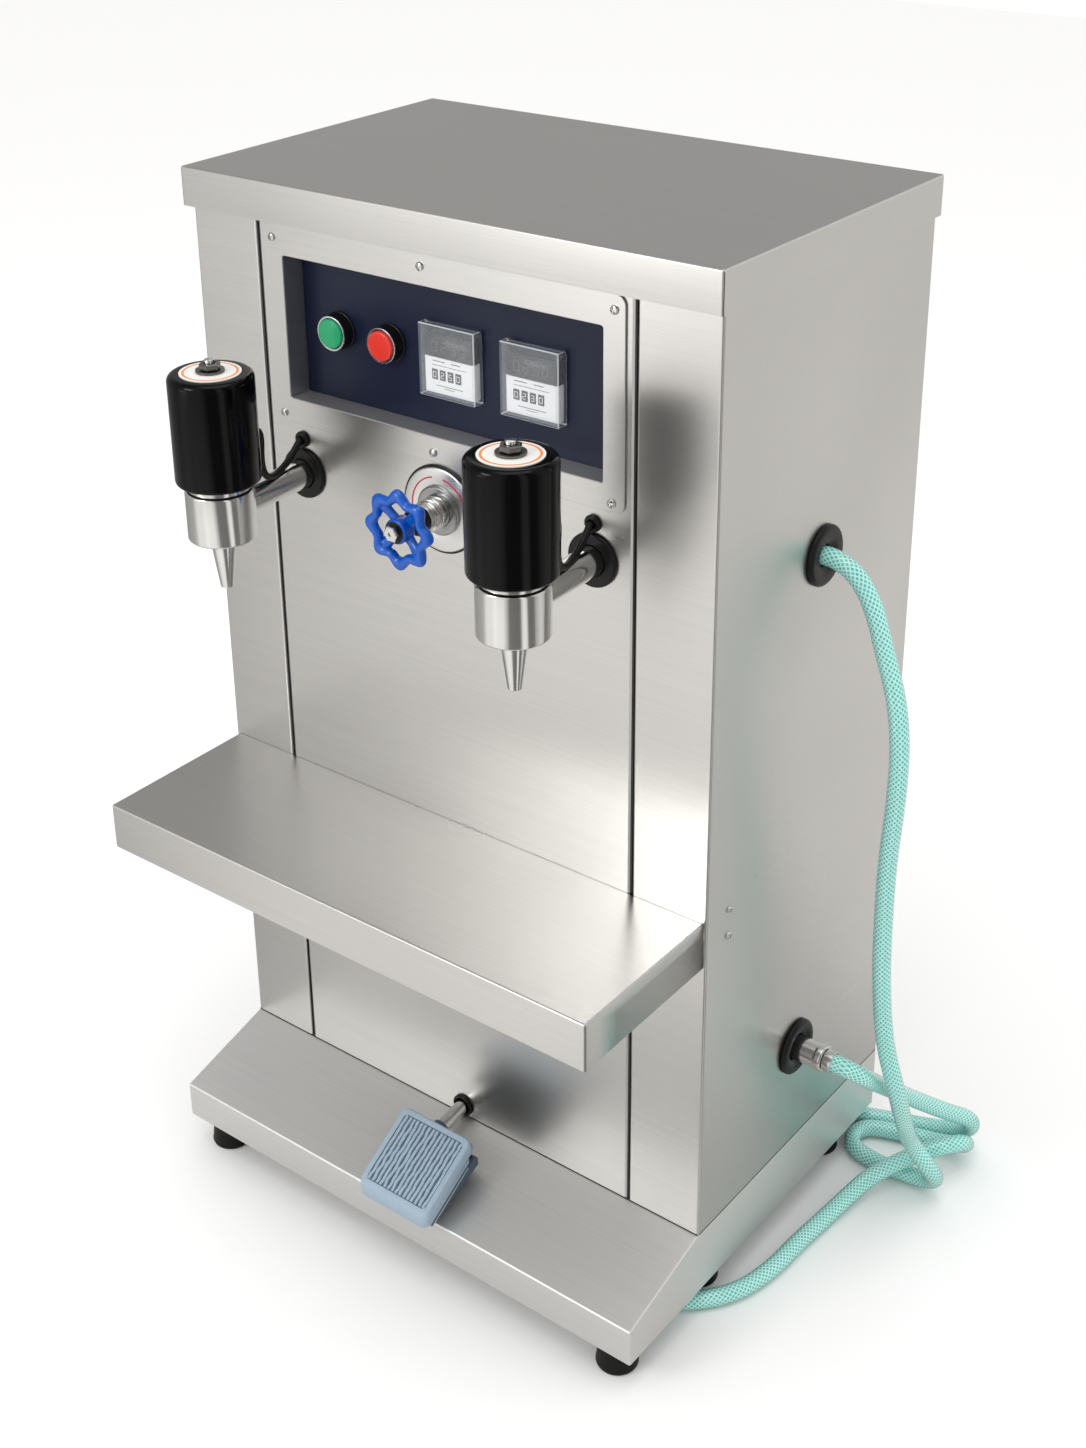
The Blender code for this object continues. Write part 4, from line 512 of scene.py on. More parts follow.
# Seams: the dark joints where the cabinet meets its base, between the front sheets and beside the front
# panel, above and below the shelf.
bm = bmesh.new()
box(bm, (-0.2492, front - 0.00012, 0.0905), (0.2492, front + 0.0002, 0.0923))
box(bm, (0.2499, front + 0.002, 0.0911), (0.25012, back - 0.002, 0.0921))
box(bm, (-0.25012, front + 0.002, 0.0911), (-0.2499, back - 0.002, 0.0921))
for x in (-0.180, 0.180):
    for low_z, high_z in ((0.0925, 0.353), (0.397, 0.8785)):
        box(bm, (x - 0.00042, front + 0.0002, low_z), (x + 0.00042, front + 0.0012, high_z))
build("sheet_seams", bm, dark_joint_and_slot_shade, "machine", "black_rubber")

# Screws: steel pan heads with a cross slot. Six hold the faceplate, and two on each side of the cabinet
# hold the cross piece that carries the shelf.
turned_steel = steel("turned steel", (0.74, 0.735, 0.72), (60, 60, 2600), 0.03, 0.13)
plate_front = front - 0.0018
screws = [((x, plate_front, z), (0, -1, 0), 0.0035) for x, z in (
    (-0.163, 0.8655), (-0.012, 0.867), (0.163, 0.8655), (-0.161, 0.721), (-0.005, 0.7217), (0.161, 0.721),
)]
screws += [((side * 0.25, front + 0.031, 0.3695), (side, 0, 0), 0.0036) for side in (-1, 1)]
screws += [((side * 0.25, front + 0.031, 0.3933), (side, 0, 0), 0.0030) for side in (-1, 1)]


def soften(profile, radius=0.0006, steps=3):
    """Rounds every corner of a closed profile that is off the axis."""
    points = []
    count = len(profile)
    for index, point in enumerate(profile):
        here = Vector(point)
        before = Vector(profile[index - 1]) - here
        after = Vector(profile[(index + 1) % count]) - here
        reach = min(radius, before.length * 0.45, after.length * 0.45)
        if here.x < 1e-6 or reach < 1e-5 or before.normalized().dot(after.normalized()) < -0.985:
            points.append(here)
            continue
        start = here + before.normalized() * reach
        end = here + after.normalized() * reach
        for step in range(steps + 1):
            share = step / steps
            points.append(start * (1 - share) ** 2 + 2 * here * share * (1 - share) + end * share ** 2)
    return points


def stand(place, toward):
    """The place and turn of a piece whose own upward direction points a given way."""
    return Matrix.Translation(place) @ Vector(toward).to_track_quat("Z", "Y").to_matrix().to_4x4()


def lathe(bm, profile, centre, axis=(0, 0, 1), segments=64, index=0):
    """Turns a closed (radius, height) profile about an axis through the centre."""
    where = stand(centre, axis)
    before = set(bm.faces)
    section = [bm.verts.new(where @ Vector((radius, 0, height))) for radius, height in profile]
    edges = []
    for corner in range(len(profile)):
        if max(profile[corner - 1][0], profile[corner][0]) > 1e-6:
            edges.append(bm.edges.new((section[corner - 1], section[corner])))
    bmesh.ops.spin(
        bm, geom=section + edges, cent=centre, axis=axis, angle=math.tau, steps=segments, use_merge=True,
    )
    own = list({vert for face in bm.faces if face not in before for vert in face.verts})
    bmesh.ops.remove_doubles(bm, verts=own, dist=1e-5)
    bm.normal_update()
    made = [face for face in bm.faces if face not in before]
    bmesh.ops.recalc_face_normals(bm, faces=made)
    for face in made:
        face.material_index = index


bm, slots, slot_shade_discs = bmesh.new(), bmesh.new(), bmesh.new()
for place, toward, radius in screws:
    place, toward = Vector(place), Vector(toward)
    head = [
        (0, 0), (radius, 0), (radius, 0.0006), (0.93 * radius, 0.0011), (0.78 * radius, 0.0015),
        (0.5 * radius, 0.0018), (0, 0.0018),
    ]
    lathe(bm, head, place + 0.0001 * toward, toward, 32)
    middle = stand(place + 0.0019 * toward, toward) @ Matrix.Rotation(0.4, 4, "Z")
    for across, along in ((1.3, 0.34), (0.34, 1.3)):
        size = Matrix.Diagonal((radius * across, radius * along, 0.0020, 1))
        bmesh.ops.create_cube(slots, size=1.0, matrix=middle @ size)
    # Painted shade: a dark disc under each cross slot stands for the shade in the slot.
    where = stand(place + 0.0006 * toward, toward)
    bmesh.ops.create_circle(slot_shade_discs, cap_ends=True, segments=24, radius=radius * 0.72, matrix=where)
heads = build("panel_screws", bm, turned_steel, "machine", "dark_steel")
cut(heads, "cross_slots", slots, crossing=True)
build("screw_slot_painted_shade", slot_shade_discs, dark_joint_and_slot_shade, "machine", "dark_steel")

# Hose grommets: soft black rubber rings with a rounded outer lip, pushed into the two holes of the right
# side panel, where the hose and the spigot pass through.
black_rubber = plain("black rubber", (0.005, 0.005, 0.005), 0.38, 0.0, 0.0, 0.28)
outward, rightward, upright = (0, -1, 0), (1, 0, 0), (0, 0, 1)


def turned(name, profile, centre, axis, segments, material, slot, *nodes_replaced, body="machine", angle=35):
    """A piece with one profile, turned on a lathe or moulded round."""
    bm = bmesh.new()
    lathe(bm, profile, centre, axis, segments)
    return build(name, bm, material, body, slot, *nodes_replaced, angle=angle)


for name, spot, inner in (
    ("upper_hose_grommet", upper_spot, 0.00835), ("lower_hose_grommet", lower_spot, 0.0113),
):
    ring = [
        (inner, 0.0020), (inner + 0.0055, 0.0048), (0.0220, 0.0050), (0.0246, 0.0034), (0.0248, 0.0003),
        (0.0145, 0.0003), (0.0145, -0.0018), (0.0165, -0.0018), (0.0155, -0.0038), (inner, -0.0038),
    ]
    turned(
        name + "_ring", soften(ring, 0.0016, 4), spot, rightward, 64, black_rubber, "black_rubber", name,
    )

# Hose: clear green braided tube that leaves the upper grommet, lies in loops on the floor behind the right
# corner, passes under the base and comes back up to the lower spigot.
route = [
    (0.2400, 0.0745, 0.6487), (0.2580, 0.0745, 0.6487), (0.2690, 0.0745, 0.6465), (0.2820, 0.0745, 0.6375),
    (0.2950, 0.0745, 0.6175), (0.3061, 0.0745, 0.5857), (0.3187, 0.0750, 0.5459), (0.3237, 0.0762, 0.5078),
    (0.3222, 0.0800, 0.4564), (0.3167, 0.0850, 0.3965), (0.3139, 0.0900, 0.3443), (0.3142, 0.0940, 0.2743),
    (0.3185, 0.1000, 0.2107), (0.3282, 0.1090, 0.1563), (0.3284, 0.1280, 0.1114), (0.3257, 0.1539, 0.0680),
    (0.3345, 0.1579, 0.0530), (0.3412, 0.1663, 0.0360), (0.3406, 0.1769, 0.0190), (0.3293, 0.1820, 0.0092),
    (0.3114, 0.1799, 0.0080), (0.2933, 0.1777, 0.0080), (0.2700, 0.1782, 0.0080), (0.2530, 0.1838, 0.0080),
    (0.2455, 0.1995, 0.0080), (0.2517, 0.2143, 0.0080), (0.2662, 0.2205, 0.0080), (0.2905, 0.2294, 0.0080),
    (0.3138, 0.2359, 0.0080), (0.3327, 0.2378, 0.0130), (0.3442, 0.2308, 0.0250), (0.3439, 0.2155, 0.0360),
    (0.3324, 0.1988, 0.0370), (0.3160, 0.1833, 0.0300), (0.3032, 0.1647, 0.0248), (0.2899, 0.1429, 0.0165),
    (0.2830, 0.1132, 0.0100), (0.2791, 0.0796, 0.0080), (0.2760, 0.0469, 0.0080), (0.2740, 0.0090, 0.0080),
    (0.2640, -0.0330, 0.0080), (0.2390, -0.0660, 0.0080), (0.1980, -0.0900, 0.0080),
    (0.1480, -0.1000, 0.0080), (0.1020, -0.0740, 0.0080), (0.0820, -0.0180, 0.0080),
    (0.0860, 0.0550, 0.0080), (0.1050, 0.1200, 0.0080), (0.1380, 0.1700, 0.0080), (0.1780, 0.2000, 0.0080),
    (0.2101, 0.2142, 0.0080), (0.2292, 0.2224, 0.0080), (0.2525, 0.2320, 0.0080), (0.2827, 0.2443, 0.0080),
    (0.3073, 0.2526, 0.0090), (0.3257, 0.2558, 0.0140), (0.3389, 0.2503, 0.0280), (0.3404, 0.2415, 0.0440),
    (0.3305, 0.2206, 0.0600), (0.3158, 0.1914, 0.0840), (0.3053, 0.1566, 0.1140), (0.3091, 0.1180, 0.1484),
    (0.3084, 0.0960, 0.1677), (0.3068, 0.0800, 0.1826), (0.2950, 0.0705, 0.1921), (0.2803, 0.0705, 0.1921),
]


def smooth_route(points, spacing):
    """Evenly spaced points on a centripetal curve through the route's own points."""
    points = [Vector(point) for point in points]
    ends = [2 * points[0] - points[1]] + points + [2 * points[-1] - points[-2]]
    dense = []
    for index in range(1, len(ends) - 2):
        p0, p1, p2, p3 = ends[index - 1:index + 3]
        t1 = (p1 - p0).length ** 0.5
        t2 = t1 + (p2 - p1).length ** 0.5
        t3 = t2 + (p3 - p2).length ** 0.5
        for step in range(16):
            t = t1 + (t2 - t1) * step / 16
            a1 = p0 * (t1 - t) / t1 + p1 * t / t1
            a2 = p1 * (t2 - t) / (t2 - t1) + p2 * (t - t1) / (t2 - t1)
            a3 = p2 * (t3 - t) / (t3 - t2) + p3 * (t - t2) / (t3 - t2)
            b1 = a1 * (t2 - t) / t2 + a2 * t / t2
            b2 = a2 * (t3 - t) / (t3 - t1) + a3 * (t - t1) / (t3 - t1)
            dense.append(b1 * (t2 - t) / (t2 - t1) + b2 * (t - t1) / (t2 - t1))
    dense.append(points[-1])
    travelled = [0.0]
    for near, far in zip(dense, dense[1:]):
        travelled.append(travelled[-1] + (far - near).length)
    count = max(2, round(travelled[-1] / spacing))
    line, index = [], 0
    for step in range(count + 1):
        target = travelled[-1] * step / count
        while index < len(dense) - 2 and travelled[index + 1] < target:
            index += 1
        share = (target - travelled[index]) / (travelled[index + 1] - travelled[index])
        line.append(dense[index].lerp(dense[index + 1], share))
    return line


def tube(bm, line, radius, sides=20):
    """A round tube along a line with flat ends, and a UV of turns round it and metres along it."""
    layer = bm.loops.layers.uv.verify()
    rings, travelled = [], [0.0]
    side = None
    for index, point in enumerate(line):
        after = line[min(index + 1, len(line) - 1)]
        before = line[max(index - 1, 0)]
        along = (after - before).normalized()
        if side is None:
            side = along.orthogonal().normalized()
        side = (side - along * side.dot(along)).normalized()
        other = along.cross(side)
        ring = []
        for corner in range(sides):
            angle = math.tau * corner / sides
            ring.append(bm.verts.new(point + radius * (side * math.cos(angle) + other * math.sin(angle))))
        rings.append(ring)
        if index:
            travelled.append(travelled[-1] + (point - line[index - 1]).length)
    for index in range(len(rings) - 1):
        for corner in range(sides):
            after = (corner + 1) % sides
            near, far = rings[index], rings[index + 1]
            face = bm.faces.new((near[corner], near[after], far[after], far[corner]))
            spots = ((corner, index), (corner + 1, index), (corner + 1, index + 1), (corner, index + 1))
            for loop, (turn, step) in zip(face.loops, spots):
                loop[layer].uv = (turn / sides, travelled[step])
    bm.faces.new(rings[0][::-1])
    bm.faces.new(rings[-1])
    return travelled[-1]


line = smooth_route(route[1:-1], 0.004)
for _ in range(8):
    middle = [(before + 2 * here + after) / 4 for before, here, after in zip(line, line[1:], line[2:])]
    line = [line[0], *middle, line[-1]]
line = [Vector(route[0]), *line, Vector(route[-1])]
hose_paint, bsdf, nodes, links = shader("green braided tube")
where = nodes.new("ShaderNodeUVMap")
split = nodes.new("ShaderNodeSeparateXYZ")
links.new(where.outputs["UV"], split.inputs["Vector"])
threads = []
for direction in (1, -1):
    around = nodes.new("ShaderNodeMath")
    around.operation = "MULTIPLY"
    around.inputs[1].default_value = 12 * direction
    links.new(split.outputs["X"], around.inputs[0])
    slide = nodes.new("ShaderNodeMath")
    slide.operation = "MULTIPLY_ADD"
    slide.inputs[1].default_value = 1 / 0.0046
    links.new(split.outputs["Y"], slide.inputs[0])
    links.new(around.outputs["Value"], slide.inputs[2])
    wave = nodes.new("ShaderNodeMath")
    wave.operation = "PINGPONG"
    wave.inputs[1].default_value = 0.5
    links.new(slide.outputs["Value"], wave.inputs[0])
    thread = nodes.new("ShaderNodeMapRange")
    thread.interpolation_type = "SMOOTHSTEP"
    thread.inputs["From Min"].default_value = 0.22
    thread.inputs["From Max"].default_value = 0.42
    links.new(wave.outputs["Value"], thread.inputs["Value"])
    threads.append(thread)
braid = nodes.new("ShaderNodeMath")
braid.operation = "MAXIMUM"
links.new(threads[0].outputs["Result"], braid.inputs[0])
links.new(threads[1].outputs["Result"], braid.inputs[1])
colour = nodes.new("ShaderNodeMix")
colour.data_type = "RGBA"
colour.inputs["A"].default_value = (0.095, 0.570, 0.490, 1)
colour.inputs["B"].default_value = (0.62, 0.99, 0.95, 1)
links.new(braid.outputs["Value"], colour.inputs["Factor"])
links.new(colour.outputs["Result"], bsdf.inputs["Base Color"])
bsdf.inputs["Roughness"].default_value = 0.16
bsdf.inputs["Coat Weight"].default_value = 1.0
bsdf.inputs["Coat Roughness"].default_value = 0.10
bsdf.inputs["Transmission Weight"].default_value = 0.12
bsdf.inputs["IOR"].default_value = 1.38
bm = bmesh.new()
hose_length = tube(bm, line, 0.00775)
hose = build("braided_hose", bm, hose_paint, "machine", "hose_green", "hose", clean=False)

# Suction pipe: a straight steel pipe from the pump to the spigot that the hose is pushed on. A short bright
# ferrule is pressed round the end of the hose.
spigot = [
    (0.0075, -0.2264), (0.0085, -0.2264), (0.0085, -0.015), (0.011, -0.013), (0.011, 0.0225),
    (0.0118, 0.0245), (0.0118, 0.0285), (0.011, 0.030), (0.0075, 0.030),
]
turned(
    "suction_pipe_turned", soften(spigot, 0.0005), lower_spot, rightward, 48, turned_steel, "turned_steel",
    "suction_pipe",
)
collar = [(0.0082, 0.0306), (0.0094, 0.0306), (0.0094, 0.0382), (0.0082, 0.0382)]
ferrule = turned(
    "hose_ferrule", soften(collar, 0.0003), lower_spot, rightward, 40, turned_steel, "turned_steel",
)

# Filling heads: a steel arm pipe carries each nozzle body, with its core tube above and its tapered tip
# below. The moulded black coil sits on the core tube under a label, a washer and a hexagon nut.
black_gloss = plain("black gloss moulding", (0.0012, 0.0012, 0.0016), 0.13, 0.0, 0.0, 0.16)
dark_steel = plain("blackened steel", (0.16, 0.155, 0.15), 0.34, 1.0)
label_white = plain("label card", (0.80, 0.79, 0.76), 0.5)
label_orange = plain("orange print", (0.78, 0.27, 0.07), 0.5)
head_x, arm_z, lead_z = 0.144, 0.672, 0.701
arm = [(0.010, 0), (0.0120, 0), (0.0120, 0.1282), (0.010, 0.1282)]
nozzle = [
    (0.0081, 0.650), (0.0262, 0.650), (0.02725, 0.6512), (0.02725, 0.6900), (0.0262, 0.6912),
    (0.0242, 0.6913), (0.0242, 0.6965), (0.0085, 0.6965), (0.0085, 0.781), (0.004, 0.781), (0.004, 0.7955),
    (0, 0.7955), (0, 0.773), (0.0065, 0.773), (0.0065, 0.6583), (0.0081, 0.6583),
]
tip = [(0.0034, 0.607), (0.0052, 0.607), (0.0108, 0.6497), (0.0078, 0.6497), (0.0078, 0.658), (0.0031, 0.658)]
coil = [(0.0088, 0.6968), (0.0300, 0.6968)]
for step in range(7):
    angle = math.radians(-90 + 90 * step / 6)
    coil.append((0.0300 + 0.0035 * math.cos(angle), 0.7003 + 0.0035 * math.sin(angle)))
for step in range(9):
    angle = math.radians(90 * step / 8)
    coil.append((0.0283 + 0.0052 * math.cos(angle), 0.7798 + 0.0052 * math.sin(angle)))
coil += [(0.0246, 0.7850), (0.0243, 0.7846), (0.0045, 0.7846), (0.0045, 0.7815), (0.0088, 0.7815)]
washer = [(0.0052, 0.7859), (0.0112, 0.7859), (0.0112, 0.7876), (0.0052, 0.7876)]
nut = [
    (0.0052, 0.788), (0.0076, 0.788), (0.0084, 0.7886), (0.0084, 0.7921), (0.0076, 0.7928), (0.0052, 0.7928),
]
for side, hand in ((-1, "left"), (1, "right")):
    centre = (side * head_x, -0.170, 0)
    turned(
        f"{hand}_arm_pipe", soften(arm, 0.0003), (side * head_x, -0.028, arm_z), outward, 48, turned_steel,
        "turned_steel", f"{hand}_arm",
    )
    turned(
        f"{hand}_nozzle_turned", soften(nozzle, 0.0006), centre, upright, 72, turned_steel, "turned_steel",
        f"{hand}_nozzle_body",
    )
    turned(
        f"{hand}_tip_turned", soften(tip, 0.0004), centre, upright, 56, turned_steel, "turned_steel",
        f"{hand}_nozzle_tip",
    )
    turned(
        f"{hand}_coil_moulding", coil, centre, upright, 80, black_gloss, "black_gloss", f"{hand}_coil",
    )
    bm = bmesh.new()
    for inner, outer, index in ((0.0046, 0.0198, 0), (0.0198, 0.0218, 1), (0.0218, 0.0238, 0)):
        ring = [(inner, 0.7848), (outer, 0.7848), (outer, 0.7856), (inner, 0.7856)]
        lathe(bm, ring, centre, upright, 64, index)
    build(f"{hand}_coil_label", bm, (label_white, label_orange), "machine", "black_gloss", clean=False)
    turned(f"{hand}_washer", soften(washer, 0.0003), centre, upright, 48, dark_steel, "dark_steel")
    turned(
        f"{hand}_coil_hex_nut", nut, centre, upright, 6, dark_steel, "dark_steel", f"{hand}_coil_nut",
        angle=20,
    )

# Arm grommets: black rubber, a large ring round each arm and a small one round its lead, moulded on one
# strip and pushed into two holes of the front panel.
for side, hand in ((-1, "left"), (1, "right")):
    bm = bmesh.new()
    for z, outer, neck, inner in ((arm_z, 0.0215, 0.0123, 0.0121), (lead_z, 0.0068, 0.0046, 0.0031)):
        ring = [
            (inner, 0.0028), (inner + 0.0008, 0.0036), (outer - 0.0012, 0.0036), (outer, 0.0024),
            (outer, 0.0003), (neck, 0.0003), (neck, -0.0018), (neck + 0.002, -0.0018),
            (neck + 0.001, -0.0038), (inner, -0.0038),
        ]
        lathe(bm, soften(ring, 0.0008), (side * head_x, front, z), outward, 48)
    middle = side * head_x
    box(bm, (middle - 0.004, front + 0.0021, 0.6825), (middle + 0.004, front + 0.0036, 0.6973))
    build(f"{hand}_arm_grommet_ring", bm, black_rubber, "machine", "black_rubber", f"{hand}_arm_grommet")

# Coil leads: short round rubber cables. Each comes out of its small grommet, sags, and rises to the back of
# the coil.
lead = [
    (0.000, 0.010, 0), (0.000, -0.0045, 0), (0.0018, -0.012, -0.0045), (0.0040, -0.0225, -0.0105),
    (0.0062, -0.0340, -0.0142), (0.0085, -0.0450, -0.0152), (0.0105, -0.0540, -0.0118),
    (0.0118, -0.0590, -0.0030), (0.0122, -0.0600, 0.0080), (0.0120, -0.0590, 0.0200),
    (0.0118, -0.0600, 0.0270), (0.0112, -0.0628, 0.0300),
    (0.0110, -0.0640, 0.0300),
]
for side, hand in ((-1, "left"), (1, "right")):
    points = [Vector((side * head_x + x, front + y, lead_z + rise)) for x, y, rise in lead]
    bm = bmesh.new()
    tube(bm, [points[0], *smooth_route(points[1:-1], 0.003), points[-1]], 0.0028, 14)
    build(f"{hand}_lead", bm, black_rubber, "machine", "black_rubber", f"{hand}_coil_lead", clean=False)

# Faceplate: a flat brushed plate with round corners, screwed to the front panel. The edges of its window
# turn in to the navy instrument panel, in steel painted a little darker as painted shade in the recess, and
# the lower edge is a ledge painted lighter as painted light.
recess_steel_painted_darker = steel("recess wall steel painted darker", (0.58, 0.58, 0.59), (40, 40, 400), 0.02, 0.30, 0.90)
ledge_steel_painted_lighter = steel("window ledge steel painted lighter", (0.62, 0.62, 0.625), (40, 40, 400), 0.02, 0.33, 0.80)


def rounded(left, right, bottom, top, radius, steps):
    """Corner points of a rectangle with round corners, anticlockwise."""
    points = []
    for x, z, start in ((right, top, 0), (left, top, 90), (left, bottom, 180), (right, bottom, 270)):
        cx = x - math.copysign(radius, x - (left + right) / 2)
        cz = z - math.copysign(radius, z - (bottom + top) / 2)
        for step in range(steps + 1):
            angle = math.radians(start + 90 * step / steps)
            points.append((cx + radius * math.cos(angle), cz + radius * math.sin(angle)))
    return points


def stitch(bm, rings, closed=False):
    """Joins rings of points, corner to corner, and caps both ends where the last doesn't meet the first."""
    hoops = [[bm.verts.new(point) for point in ring] for ring in rings]
    skins = []
    for near, far in zip(hoops, hoops[1:] + hoops[:1] if closed else hoops[1:]):
        corners = range(-1, len(near) - 1)
        skins.append([bm.faces.new((near[i], near[i + 1], far[i + 1], far[i])) for i in corners])
    caps = [] if closed else [bm.faces.new(hoops[0][::-1]), bm.faces.new(hoops[-1])]
    return skins, caps
plate_outer = rounded(-0.172, 0.172, 0.714, 0.877, 0.008, 7)
plate_edge = rounded(-0.1717, 0.1717, 0.7143, 0.8767, 0.0077, 7)
hole_edge = rounded(-0.1536, 0.1536, 0.7344, 0.8526, 0.0026, 7)
hole = rounded(-0.153, 0.153, 0.735, 0.852, 0.002, 7)
hole_back = rounded(-0.1542, 0.1542, 0.7338, 0.8532, 0.0032, 7)
face_y = front - 0.0018
loops = [
    (plate_outer, front - 0.0003), (plate_outer, front - 0.0015), (plate_edge, face_y), (hole_edge, face_y),
    (hole, front - 0.0012), (hole, front + 0.0197), (hole_back, front + 0.0197), (hole_back, front - 0.0003),
]
bm = bmesh.new()
skins, _ = stitch(bm, [[(x, y, z) for x, z in points] for points, y in loops], closed=True)
# The lower wall of the window gets the lighter ledge steel (painted light), the other walls the darker recess
# steel (painted shade).
for face in skins[4]:
    face.material_index = 2 if face.calc_center_median().z < 0.7352 else 1
plate = build(
    "faceplate_sheet", bm, (sheet_steel, recess_steel_painted_darker, ledge_steel_painted_lighter), "machine", "brushed_sheet",
    "control_faceplate",
)
keep_flat(plate)

# Push buttons: black plastic barrels on a flat collar, with a bright ring round a coloured cap. They fit
# holes in the instrument panel.
black_plastic = plain("black plastic", (0.006, 0.006, 0.007), 0.28, 0.0, 0.0, 0.3)
ring_metal = plain("bright button ring", (0.75, 0.75, 0.76), 0.2, 1.0)
button_green = plain("green button", (0.006, 0.34, 0.135), 0.3, 0.0, 0.3)
button_red = plain("red button", (0.72, 0.035, 0.022), 0.3, 0.0, 0.3)
panel_y = front + 0.020
barrel = [
    (0.0124, 0.0108), (0.0143, 0.0108), (0.0148, 0.0020), (0.0155, 0.0018), (0.0155, 0.0003), (0.011, 0.0003),
    (0.011, -0.030), (0.0044, -0.030), (0.0044, 0.002), (0.0124, 0.002),
]
trim = [(0.0124, 0.0110), (0.0143, 0.0110), (0.0141, 0.0120), (0.0126, 0.0120)]
cap = [
    (0, -0.026), (0.004, -0.026), (0.004, 0.0068), (0.0120, 0.0068), (0.0120, 0.0132), (0.0110, 0.0142),
    (0, 0.0145),
]
for x, hand, paint, slot_name in (
    (-0.115, "start", button_green, "green_plastic"), (-0.063, "stop", button_red, "red_plastic"),
):
    centre = (x, panel_y, 0.793)
    bm = bmesh.new()
    lathe(bm, soften(barrel, 0.0004), centre, outward, 64, 0)
    lathe(bm, soften(trim, 0.0003), centre, outward, 64, 1)
    build(
        f"{hand}_barrel", bm, (black_plastic, ring_metal), "machine", "black_plastic", f"{hand}_button_body",
        clean=False,
    )
    turned(
        f"{hand}_cap_moulding", soften(cap, 0.0005), centre, outward, 64, paint, slot_name,
        f"{hand}_button_cap", body=f"{hand}_button",
    )

# Timers: black moulded cases, about 48 mm square in front. A dark window stands over a white face that
# holds four thumbwheels, and two ears on top carry the cover.
face_white = plain("timer face", (0.86, 0.87, 0.88), 0.45)
window_black = plain("timer window", (0.012, 0.012, 0.013), 0.12)
window_print = plain("window print", (0.07, 0.07, 0.075), 0.4)
print_black = plain("timer print", (0.03, 0.03, 0.035), 0.5)
clear, bsdf, nodes, links = shader("clear cover")
bsdf.inputs["Base Color"].default_value = (0.90, 0.95, 1.0, 1)
bsdf.inputs["Roughness"].default_value = 0.04
bsdf.inputs["Specular IOR Level"].default_value = 1.0
bsdf.inputs["Alpha"].default_value = 0.10
# Painted highlight: the covers' bevelled edges are whiter and less clear than the cover, so they glow like
# lit acrylic edges.
clear_edge_painted_highlight, bsdf, nodes, links = shader("cover edge painted highlight")
bsdf.inputs["Base Color"].default_value = (0.88, 0.92, 0.96, 1)
bsdf.inputs["Roughness"].default_value = 0.08
bsdf.inputs["Alpha"].default_value = 0.62
segments_lit = {"0": "abcdef", "2": "abged", "3": "abgcd", "5": "afgcd"}
bars = {
    "a": ((0.1, 0.9), (0.9, 1.0)), "b": ((0.85, 1.0), (0.52, 0.95)), "c": ((0.85, 1.0), (0.05, 0.48)),
    "d": ((0.1, 0.9), (0.0, 0.1)), "e": ((0.0, 0.15), (0.05, 0.48)), "f": ((0.0, 0.15), (0.52, 0.95)),
    "g": ((0.1, 0.9), (0.45, 0.55)),
}


def digit(bm, left, bottom, width, height, y, shown, index):
    """A digit of short raised bars on a face that looks towards -Y."""
    for bar in segments_lit[shown]:
        (low_x, high_x), (low_z, high_z) = bars[bar]
        low = (left + width * low_x, y - 0.00012, bottom + height * low_z)
        box(bm, low, (left + width * high_x, y + 0.0001, bottom + height * high_z), index=index)


timers = ((0.0015, "left", "0250"), (0.0795, "right", "0230"))
timer_y = panel_y - 0.0075
hinge_y, hinge_z = panel_y - 0.0045, 0.8154
for x, hand, shown in timers:
    bm = bmesh.new()
    box(bm, (x - 0.024, timer_y, 0.7932), (x + 0.024, panel_y - 0.0003, 0.8116), None, 0.0006, 2)
    box(bm, (x - 0.024, timer_y, 0.7643), (x + 0.024, panel_y - 0.0003, 0.7932), None, 0.0006, 2, 1)
    box(bm, (x - 0.0222, panel_y - 0.0004, 0.7658), (x + 0.0222, panel_y + 0.060, 0.8102))
    for side in (-1, 1):
        ear = x + side * 0.0221
        pin(bm, (ear, hinge_y, hinge_z), 0.0025, 0.0032, 24)
        box(bm, (ear - 0.0016, panel_y - 0.0068, 0.811), (ear + 0.0016, panel_y - 0.0022, 0.8148))
    for low_z, high_z, lift, radius, steps, index in (
        (0.7662, 0.7930, 0.0004, 0.0001, 1, 1), (0.7934, 0.8100, 0.0006, 0.0003, 2, 2),
    ):
        low = (x - 0.0222, timer_y - lift, low_z)
        box(bm, low, (x + 0.0222, timer_y + 0.0002, high_z), None, radius, steps, index)
    for place, number in enumerate(shown):
        digit(bm, x - 0.0165 + 0.0088 * place, 0.7975, 0.0058, 0.0088, timer_y - 0.0006, number, 4)
        wheel_x = x - 0.0140 + 0.0076 * place
        low = (wheel_x - 0.0028, timer_y - 0.0008, 0.7755)
        box(bm, low, (wheel_x + 0.0028, timer_y, 0.7838), None, 0.0003, 1, 3)
        digit(bm, wheel_x - 0.0015, 0.7772, 0.0030, 0.0048, timer_y - 0.0008, number, 1)
    for low_x, high_x, low_z, high_z in (
        (-0.0165, 0.0165, 0.7868, 0.7872), (-0.0160, -0.0040, 0.7900, 0.7906),
        (0.0020, 0.0110, 0.7900, 0.7906), (-0.0130, 0.0130, 0.7708, 0.7713),
        (-0.0050, 0.0050, 0.7690, 0.7694),
    ):
        box(bm, (x + low_x, timer_y - 0.0005, low_z), (x + high_x, timer_y - 0.0003, high_z), index=3)
    build(
        f"{hand}_timer_face", bm, (black_plastic, face_white, window_black, print_black, window_print),
        "machine", "black_plastic", f"{hand}_timer", clean=False,
    )

